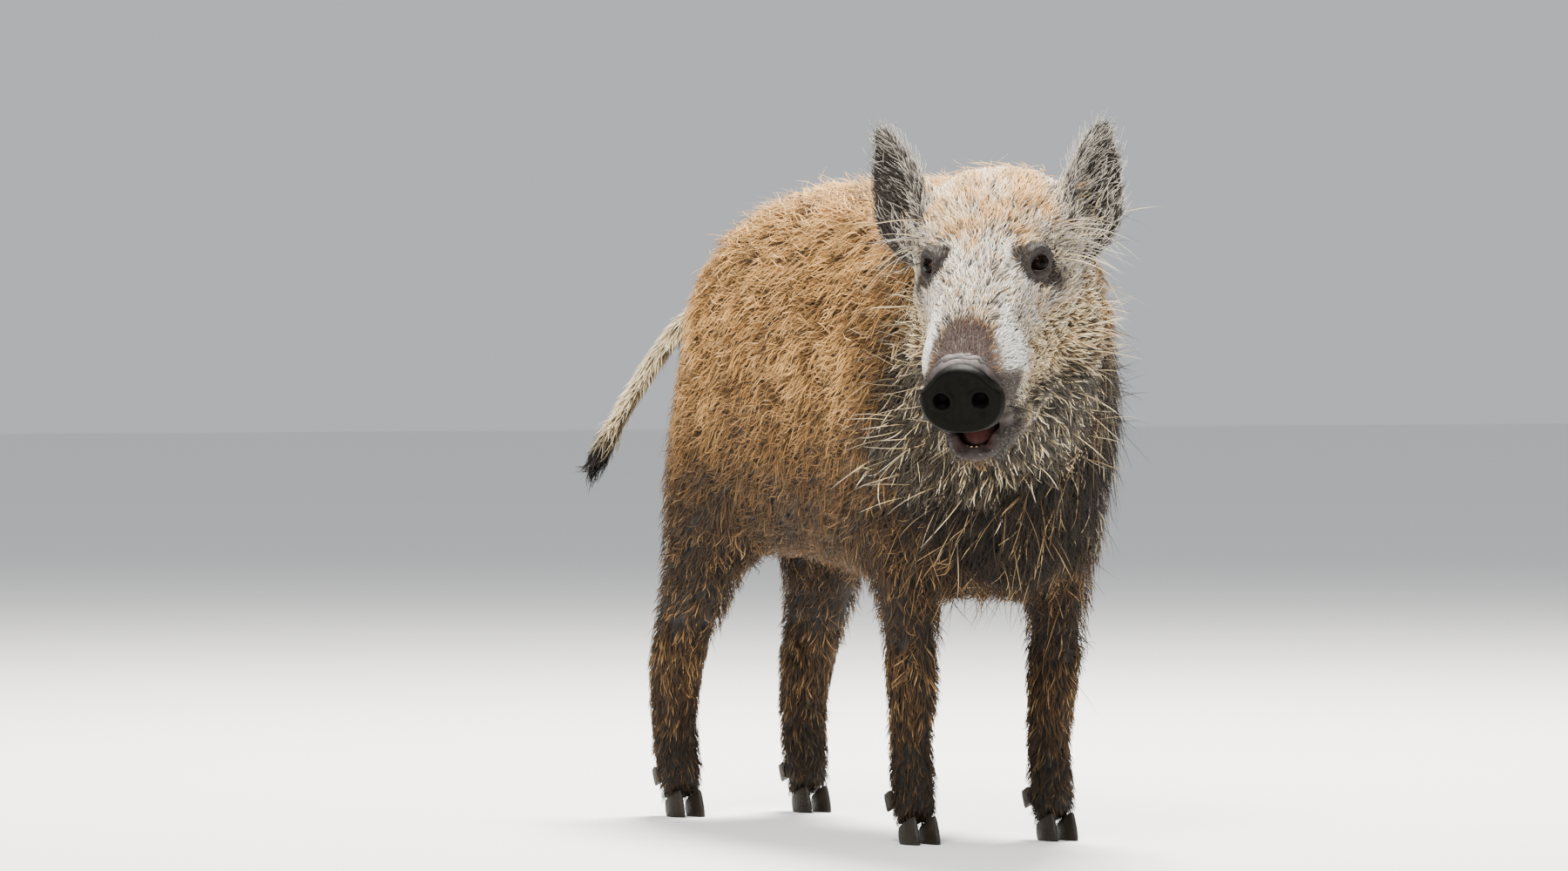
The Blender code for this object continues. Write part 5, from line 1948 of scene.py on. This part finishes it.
    def tail(self) -> None:
        """Hair along the tail, and the long black tuft at its end."""
        at = self.coat.places
        tail = at.is_tail.astype(float)
        fur = Tufts(
            Lie.SHORT, spacing=0.0026, length=0.0220, width=0.0012, lift=0.0015, stand=0.10,
            spread=0.22, seed=17,
        )
        self.coat.grow("coat_tail", tail, fur, "coat_dark")
        tuft = Tufts(
            Lie.LONG, spacing=0.0034, length=0.038, width=0.0012, lift=0.0010, stand=0.12, wave=0.08,
            spread=0.25, bend=0.16, seed=27,
        )
        self.coat.grow("coat_tail_end", tail * ramp(at.points[:, 2], 0.475, 0.455), tuft, "coat_dark")

    def bristles(self) -> None:
        """Long pale and black bristles on the jowls, chest, back, crown, brows and ear roots."""
        self.jowl_bristles()
        self.body_bristles()
        self.brow_bristles()

    def jowl_bristles(self) -> None:
        """Long pale bristles that stand out at both sides of the jaw."""
        at = self.coat.places
        hx, hy, hz = at.head.T
        jowl = at.is_head * ramp(hz, -0.050, -0.085) * ramp(hy, 0.00, 0.05) * ramp(np.abs(hx), 0.045, 0.065)
        jowl = np.maximum(jowl, self.neck * ramp(hz, -0.03, -0.08) * ramp(np.abs(hx), 0.06, 0.09))
        long = Tufts(
            Lie.BRISTLE, spacing=0.0125, length=0.062, width=0.0007, lift=0.0060, stand=0.42, wave=0.03,
            spread=0.30, bend=0.12, droop=0.12, tint=(0.35, 1.0), seed=41,
        )
        for side, word in SIDES:
            way = HEAD.directions(np.array([[0.75 * side, 0.75, -0.15]]))
            self.coat.grow(
                f"bristles_jowl_{word}", jowl * (np.sign(hx) == side), long, "coat_grey", None, way
            )

    def body_bristles(self) -> None:
        """Hanging bristles on the chest and standing ones on the back and the crown."""
        at = self.coat.places
        _, y, z = at.points.T
        _, hy, hz = at.head.T
        body = np.maximum(self.neck, self.trunk)
        hang = Tufts(
            Lie.BRISTLE, spacing=0.0105, length=0.058, width=0.0009, lift=0.0080, stand=0.20, wave=0.05,
            spread=0.30, bend=0.12, droop=0.25, tint=(0.6, 1.0), seed=43,
        )
        chest = body * ramp(y, FORE_Y + 0.00, FORE_Y - 0.05) * ramp(z, 0.58, 0.50)
        self.coat.grow("bristles_chest", chest, hang, "coat_tan")
        crest = Tufts(
            Lie.BRISTLE, spacing=0.0120, length=0.040, width=0.0008, lift=0.0090, stand=0.26, wave=0.05,
            spread=0.35, bend=0.15, tint=(0.5, 1.0), seed=45,
        )
        self.coat.grow("bristles_back", body * ramp(z, BACK_Z - 0.14, BACK_Z - 0.04), crest, "coat_tan")
        quiff = Tufts(
            Lie.BRISTLE, spacing=0.0080, length=0.026, width=0.0011, lift=0.0050, stand=0.45, wave=0.06,
            spread=0.25, bend=0.22, seed=49,
        )
        crown = at.is_head * ramp(hz - 0.3 * hy, 0.030, 0.055) * ramp(hy, 0.06, 0.03)
        self.coat.grow("bristles_crown", crown, quiff, "coat_grey")

    def brow_bristles(self) -> None:
        """Long drooping bristles at the outer ends of the brows and the roots of the ears."""
        at = self.coat.places
        hx, hy, hz = at.head.T
        t, v, _ = at.eye.T
        brow = at.is_head * hill(np.hypot((t - 0.024) / 0.014, (v - 0.016) / 0.012), 1.0)
        brow = brow * ramp(at.ring, 2.1, 2.5)
        root = hill(np.hypot((np.abs(hx) - 0.086) / 0.012, (hz - 0.016) / 0.026), 1.0)
        root = at.is_head * root * ramp(hy, 0.03, 0.06)
        long = Tufts(
            Lie.BRISTLE, spacing=0.0068, length=0.080, width=0.0010, lift=0.0020, stand=0.42, wave=0.02,
            spread=0.20, bend=0.12, droop=0.30, seed=47,
        )
        for side, word in SIDES:
            way = HEAD.directions(np.array([[1.4 * side, 0.55, -0.25]]))
            mask = np.clip(1.2 * brow + 0.5 * root, 0, 1) * (np.sign(hx) == side)
            self.coat.grow(f"bristles_brow_{word}", mask, long, "coat_grey", None, way)


# ---- eyes


@dataclass
class Eyes:
    """Round dark eyes with a clear bulge over the iris."""

    radius: float = 0.0124
    iris: float = 0.0092
    bulge: float = 0.0008
    off_iris: float = 9.0

    def build(self) -> None:
        """Makes both eyes."""
        material = self.material()
        for side, word in SIDES:
            self.ball(side, word, material)

    def ball(self, side: int, word: str, material: Material) -> None:
        """One eyeball.

        Args:
            side: 1 for the left eye, -1 for the right.
            word: its name's ending.
            material: the eye's finish.
        """
        bm = bmesh.new()
        bmesh.ops.create_uvsphere(bm, u_segments=48, v_segments=32, radius=self.radius)
        iris = []
        for vertex in bm.verts:
            out = math.hypot(vertex.co.x, vertex.co.y)
            front = vertex.co.z > 0
            swell = self.bulge * max(0.0, 1 - (out / self.iris) ** 2) if front else 0.0
            iris.append(out / self.iris if front else self.off_iris)
            vertex.co += vertex.co.normalized() * swell
        bm.transform(HEAD.eye_matrix(side))
        eye = new_object(f"eyeball_{word}", bm, material)
        value_attribute(eye.data, "from_pupil", np.array(iris))
        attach(eye, "root")
        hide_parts(f"eye_{word}")
        log.info("eyeball_%s", word)

    @staticmethod
    def material() -> Material:
        """Black pupil, dark brown iris and a thin dark white, all wet."""
        material, shader = Finish("eye", 0.07, 0.04).start()
        graph = Graph(material.node_tree)
        ring = graph.node("ShaderNodeAttribute", attribute_name="from_pupil")
        pupil = graph.ramp_node(ring.outputs["Fac"], 0.45, 0.55)
        white = graph.ramp_node(ring.outputs["Fac"], 0.96, 1.12)
        colour = graph.mix(pupil, shade(3, 2, 2), shade(17, 9, 5))
        colour = graph.mix(white, colour, shade(34, 25, 21))
        graph.link(colour, shader.inputs["Base Color"])
        return material


@dataclass
class Lids:
    """Thick bare lids that slide over each eyeball and leave a long opening."""

    ball: float = 0.0124
    nose_end: float = math.radians(66.0)
    ear_end: float = math.radians(66.0)
    upper: float = math.radians(46.0)
    lower: float = math.radians(32.0)
    tilt: float = math.radians(18.0)
    roundness: Pair = (1.90, 1.55)
    inner: float = math.radians(45.0)
    edge: float = math.radians(56.3)
    rim: float = math.radians(4.0)
    overlap: float = 1.04
    behind: float = -0.0012
    turned_in: float = -0.0008
    wrinkle: float = 0.00018
    wrinkles: float = 95.0
    margin: float = math.radians(5.0)
    lashes_each: int = 46
    lash_span: Pair = (math.radians(-8.0), math.radians(150.0))
    lash_from_rim: float = math.radians(3.0)
    lash_length: float = 0.0085
    lash_width: float = 0.0005
    lash_tint: float = 0.97
    # The lid's height over the ball in metres, by degrees beyond the opening.
    profile = (
        (0.0, 0.0004), (2.5, 0.0015), (7.0, 0.0022), (12.0, 0.0017),
        (17.0, 0.0026), (24.0, 0.0016), (40.0, 0.0004), (70.0, -0.0020),
    )

    def build(self, finishes: Finishes) -> None:
        """Makes the lids of both eyes."""
        for side, word in SIDES:
            self.pair(side, word, finishes)

    def opening(self, angle: Array) -> Array:
        """The edge of the opening.

        Args:
            angle: angles round the pupil's axis.

        Returns:
            How far from that axis the edge lies, as angles.
        """
        across, up = np.cos(angle - self.tilt), np.sin(angle - self.tilt)
        wide = np.where(across > 0, self.ear_end, self.nose_end)
        high = np.where(up > 0, self.upper, self.lower)
        power = np.where(up > 0, self.roundness[0], self.roundness[1])
        return ((np.abs(across) / wide) ** power + (np.abs(up) / high) ** power) ** (-1 / power)

    def height(self, beyond: Array, up: Array) -> Array:
        """How far over the eyeball the lid lies, by the angle beyond the opening."""
        places, heights = zip(*((math.radians(degrees), height) for degrees, height in self.profile))
        thick = np.interp(beyond, places, heights)
        return np.where(thick > 0, thick * (1 + 0.30 * np.maximum(up, 0)), thick)

    @staticmethod
    def around(side: int, angle: Array, out: Array) -> Array:
        """Directions by the angle round the pupil's axis and the angle away from it."""
        return columns(side * np.cos(angle) * np.sin(out), np.sin(angle) * np.sin(out), np.cos(out))

    def pair(self, side: int, word: str, finishes: Finishes) -> None:
        """Upper and lower lid of one eye, as one closed form.

        Args:
            side: 1 for the left eye, -1 for the right.
            word: its name's ending.
            finishes: the boar's materials.
        """
        bm = bmesh.new()
        bmesh.ops.create_uvsphere(bm, u_segments=72, v_segments=48, radius=1.0)
        lids = new_object(f"eyelids_{word}", bm, finishes.lid)
        mesh = lids.data
        points = points_of(mesh)
        polar = np.arccos(np.clip(points[:, 2], -1, 1))
        angle = np.arctan2(points[:, 1], side * points[:, 0])
        gap = self.opening(angle)
        up = np.sin(angle)
        hidden = gap * self.overlap * polar / self.inner
        rim = np.clip((polar - self.inner) / (self.edge - self.inner), 0, 1)
        beyond = self.rim * rim**2
        rest = np.clip((polar - self.edge) / (math.pi - self.edge), 0, 1)
        outer = gap + beyond + rest * (math.pi - gap - self.rim)
        away = np.where(polar < self.inner, hidden, outer)
        past = away - gap
        lift = np.where(polar < self.inner, self.behind, self.height(past, up))
        lift = np.where((polar >= self.inner) & (rim < 0.4), self.turned_in, lift)
        wrinkle = self.wrinkle * np.sin(past * self.wrinkles + 2.0 * up) * ramp(past, 0.06, 0.14)
        radius = self.ball + lift + wrinkle * (polar > self.edge)
        local = self.around(side, angle, away) * radius[:, None]
        set_points(mesh, moved(local, HEAD.eye_matrix(side)))
        margin = np.clip(1.6 - past / self.margin, 0, 1) * (polar > self.inner)
        # Painted light: the upper part of the lid, which faces up, is a quarter lighter.
        colour = np.tile(rgb(Hide.LID), (len(points), 1)) * (1 + 0.25 * ramp(up, 0.2, 1.0))[:, None]
        colour = MARKINGS.paint(colour, Hide.DARK, 0.95 * margin)
        # Painted shade in the two creases of the lid.
        for crease, wide in ((12.0, 1.6), (24.0, 4.0)):
            dark = hill(past - math.radians(crease), math.radians(wide))
            colour = MARKINGS.paint(colour, Hide.DARK, 0.8 * dark)
        colour_attribute(mesh, "hide_colour", colour)
        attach(lids, "root")
        log.info("eyelids_%s", word)

    def lashes(self, coat: Coat) -> None:
        """Short stiff black lashes along both upper lids.

        Args:
            coat: the coat, which raises them as it does its tufts.
        """
        rng = np.random.default_rng(61)
        each = self.lashes_each
        kind = Tufts(
            Lie.LOCK, spacing=0.0, length=self.lash_length, width=0.0006, lift=0.0, stand=0.0,
            spread=0.0, bend=0.10, droop=0.15, seed=62,
        )
        for side, word in SIDES:
            angle = np.linspace(*self.lash_span, each) + rng.normal(0, 0.03, each)
            local = self.around(side, angle, self.opening(angle) + self.lash_from_rim)
            way = local * [1.0, 0.2, 0.0] + [side * 0.35, -0.10, 0.55]
            turn = HEAD.eye_matrix(side)
            roots = moved(local * (self.ball + 0.0016), turn)
            at = Places(roots, unit(turned(local, turn)), np.full(each, Region.HEAD.value))
            length = self.lash_length * rng.uniform(0.6, 1.2, each)
            width, tint = np.full(each, self.lash_width), np.full(each, self.lash_tint)
            strands = Strands(at, unit(turned(way, turn)), length, width, tint)
            coat.raise_tufts(f"lashes_{word}", strands, kind, rng)


# ---- snout disc


@dataclass
class Snout:
    """The gristly disc: domed above, widest at the nostrils, dished, with a thin raised rim."""

    voxel: float = 0.0010
    rounds: int = 5
    half_width: float = 0.0455
    half_height: float = 0.0385
    dome: Pair = (0.006, 0.022)
    narrowing: float = 0.20
    nostril: Pair = (0.0205, 0.0010)
    nostril_half: Pair = (0.0100, 0.0104)

    def build(self, finishes: Finishes) -> None:
        """Remeshes the disc finely and shapes its outline, rim and nostrils.

        Args:
            finishes: the boar's materials.
        """
        disc = new_object("snout", merged("snout_disc"))
        remesh(disc, self.voxel)
        mesh = disc.data
        points = smoothed(points_of(mesh), edges_of(mesh), np.full(len(mesh.vertices), 0.5), self.rounds)
        set_points(mesh, self.shaped(mesh, points))
        colour_attribute(mesh, "hide_colour", self.colours(points_of(mesh)))
        dress(mesh, finishes.disc)
        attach(disc, "root")
        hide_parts("snout_disc")
        log.info("snout: %d faces", len(mesh.polygons))

    def ring(self, x: Array, z: Array) -> Array:
        """How far each place is from the disc's middle, 1 at its edge."""
        narrow = 1 - self.narrowing * ramp(z, *self.dome)
        return np.hypot(x / (self.half_width * narrow), z / self.half_height)

    def colours(self, points: Array) -> Array:
        """Near-black gristle darkened as painted shade, darker still over its upper part, a painted highlight
        along the top edge and nostrils painted black as shade.

        Args:
            points: the disc's points.

        Returns:
            A colour for each.
        """
        x, y, z = moved(points, HEAD.disc_matrix().inverted()).T
        # rim marks a painted highlight along the disc's top edge.
        rim = hill(self.ring(x, z) - 0.985, 0.009) * ramp(z, -0.005, 0.015) * ramp(y, -0.009, -0.012)
        colour = np.tile(rgb(Hide.DISC), (len(points), 1))
        # Painted shade: the disc's upper part made darker.
        colour = MARKINGS.paint(colour, Hide.PAINTED_SHADE_BLACK, 0.5 * ramp(z, 0.000, 0.030))
        colour = MARKINGS.paint(colour, Hide.PAINTED_RIM_HIGHLIGHT, 0.9 * rim)
        # Painted shade: the nostril pits coloured black.
        return MARKINGS.paint(colour, Hide.PAINTED_SHADE_BLACK, ramp(self.from_nostril(x, z), 1.05, 0.85))

    def from_nostril(self, x: Array, z: Array) -> Array:
        """How far each place is from the nearer nostril's middle, 1 at its edge."""
        across, up = self.nostril
        return np.hypot((np.abs(x) - across) / self.nostril_half[0], (z - up) / self.nostril_half[1])

    def shaped(self, mesh: Mesh, points: Array) -> Array:
        """The disc's points after shaping.

        Args:
            mesh: the disc, for its outward directions.
            points: its points, smoothed.

        Returns:
            The new places.
        """
        set_points(mesh, points)
        place = HEAD.disc_matrix()
        back = place.inverted()
        local = moved(points, back)
        facing = turned(normals_of(mesh), back)
        x, y, z = local.T
        front = ramp(facing[:, 1], -0.2, -0.8)
        ring = self.ring(x, z)
        nostril = self.from_nostril(x, z)
        push = 0.0011 * hill(ring - 0.90, 0.07) * (1 + 0.5 * ramp(z, 0.0, 0.03))
        push -= 0.0022 * ramp(ring, 0.86, 0.55) * front * ramp(nostril, 1.1, 1.5)
        push += 0.0004 * hill(nostril - 1.20, 0.20) * front
        push -= 0.0008 * hill(x, 0.0022) * ramp(z, -0.032, -0.012) * ramp(z, 0.020, 0.006) * front
        push += 0.0004 * ripple(local, 0.012, 71) * front * ramp(ring, 0.9, 0.7)
        local = local + facing * push[:, None]
        local[:, 0] *= 1.02
        local[:, 1] -= 0.0035 * ramp(z, 0.020, 0.040) * ramp(y, -0.004, -0.012)
        return moved(local, place)


# ---- mouth


@dataclass
class Mouth:
    """Front teeth and the tongue."""

    offsets: tuple[float, ...] = (-0.0135, -0.0080, -0.0027, 0.0027, 0.0080, 0.0135)
    height: float = 0.0105
    lean: float = math.radians(38.0)
    width: float = 0.0050
    depth: float = 0.0040
    front: Pair = (-0.1585, -0.1556)
    arch: float = 55.0

    def build(self, finishes: Finishes) -> None:
        """Makes the teeth as one piece and dresses the tongue.

        Args:
            finishes: the boar's materials.
        """
        bm = bmesh.new()
        size = Matrix.Diagonal((self.width / 2, self.depth / 2, self.height / 2, 1.0))
        for offset in self.offsets:
            at = Matrix.Translation((offset, self.front[0] + self.arch * offset**2, self.front[1]))
            place = HEAD.matrix() @ at @ Matrix.Rotation(self.lean, 4, "X")
            made = bmesh.ops.create_uvsphere(bm, u_segments=12, v_segments=10, radius=1.0)
            bmesh.ops.transform(bm, matrix=place @ size, verts=made["verts"])
        teeth = new_object("front_teeth", bm, finishes.teeth)
        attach(teeth, "root")
        log.info("front_teeth")
        tongue = rounded("tongue_body", merged("tongue"), finishes.tongue, 2)
        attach(tongue, "root")
        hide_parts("tongue")
        log.info("tongue_body")


# ---- claws


@dataclass
class Claws:
    """Main claws and dewclaws of dark horn, rounded from their solids."""

    levels: int = 2
    sole_depth: float = 0.0005
    sole_crease: float = 0.75
    crease: float = 0.15

    def build(self, finishes: Finishes) -> None:
        """Rounds every claw and dresses it."""
        for kind in ("hoof", "dewclaw"):
            for leg in LEGS:
                for word in ("inner", "outer"):
                    self.claw(f"{kind}_{leg}_{word}", finishes)

    def claw(self, node: str, finishes: Finishes) -> None:
        """One claw.

        Args:
            node: its CAD node.
            finishes: the boar's materials.
        """
        bm = merged(node)
        floor = min(v.co.z for v in bm.verts)
        crease = bm.edges.layers.float.new("crease_edge")
        hoof = node.startswith("hoof")
        for edge in bm.edges:
            sole = hoof and all(v.co.z < floor + self.sole_depth for v in edge.verts)
            edge[crease] = self.sole_crease if sole else self.crease
        name = node.replace("hoof", "claw").replace("dewclaw", "rear_claw")
        claw = rounded(name, bm, finishes.horn, self.levels)
        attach(claw, "root")
        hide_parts(node)
        log.info("%s", claw.name)


# ---- stage


@dataclass
class Stage:
    """A pale floor, soft lights and the camera."""

    azimuth: float = math.radians(-26.0)
    distance: float = 10.3
    eye_height: float = 0.60
    lens: float = 206.0
    aim_from_head: Spot = (0.0683, 0.6376, -0.196)
    floor_colour: tuple[float, float, float, float] = (0.86, 0.86, 0.85, 1.0)
    sky_colour: tuple[float, float, float, float] = (0.93, 0.96, 1.0, 1.0)
    sky_strength: float = 0.60
    # Each lamp's name, place, power, size and colour.
    lamps = (
        ("key", (-3.0, -3.8, 4.6), 680.0, 1.6, (1.0, 0.97, 0.92)),
        ("fill", (4.5, -3.5, 2.0), 45.0, 3.0, (0.92, 0.96, 1.0)),
        ("top", (1.4, 1.9, 4.8), 1350.0, 1.5, (1.0, 0.97, 0.90)),
    )
    lit: Spot = (0.0, 0.0, 0.45)

    def build(self) -> None:
        """Sets the stage."""
        self.floor()
        self.lights()
        self.camera()

    def floor(self) -> None:
        """A wide plain floor and an even pale sky."""
        bm = bmesh.new()
        bmesh.ops.create_grid(bm, x_segments=1, y_segments=1, size=30.0)
        material, shader = Finish("floor_plain", 0.85, 0.2).start()
        shader.inputs["Base Color"].default_value = self.floor_colour
        floor = new_object("floor", bm, material)
        world = bpy.data.worlds.new("studio")
        bpy.context.scene.world = world
        world.use_nodes = True
        sky = world.node_tree.nodes["Background"]
        sky.inputs[0].default_value, sky.inputs[1].default_value = self.sky_colour, self.sky_strength

    def lights(self) -> None:
        """A broad key from the front left above, a fill, and a top light for the coat's edge."""
        for name, place, energy, size, colour in self.lamps:
            lamp = bpy.data.lights.new(name, "AREA")
            lamp.energy, lamp.size, lamp.color = energy, size, colour
            obj = bpy.data.objects.new(name, lamp)
            bpy.context.scene.collection.objects.link(obj)
            obj.location = place
            obj.rotation_euler = (Vector(self.lit) - obj.location).to_track_quat("-Z", "Y").to_euler()

    def camera(self) -> None:
        """The camera, a little above the boar's shoulder and far off."""
        lens = bpy.data.cameras.new("camera")
        lens.lens, lens.sensor_width = self.lens, 36.0
        camera = bpy.data.objects.new("camera", lens)
        bpy.context.scene.collection.objects.link(camera)
        target = HEAD.matrix().translation + Vector(self.aim_from_head)
        back = Vector((math.sin(self.azimuth), -math.cos(self.azimuth), 0.0))
        camera.location = target + back * self.distance
        camera.location.z = self.eye_height
        camera.rotation_euler = (target - camera.location).to_track_quat("-Z", "Y").to_euler()
        bpy.context.scene.camera = camera


def main() -> None:
    """Builds the boar and its stage, and notes the sizes."""
    logging.basicConfig(level=logging.INFO, format="%(message)s")
    finishes = Finishes()
    skin = Skin()
    body = skin.build(finishes)
    Eyes().build()
    lids = Lids()
    lids.build(finishes)
    Snout().build(finishes)
    Mouth().build(finishes)
    Claws().build(finishes)
    coat = Coat(body, skin.places, finishes)
    lids.lashes(coat)
    Groom(coat).build()
    Stage().build()


if __name__ == "__main__":
    main()
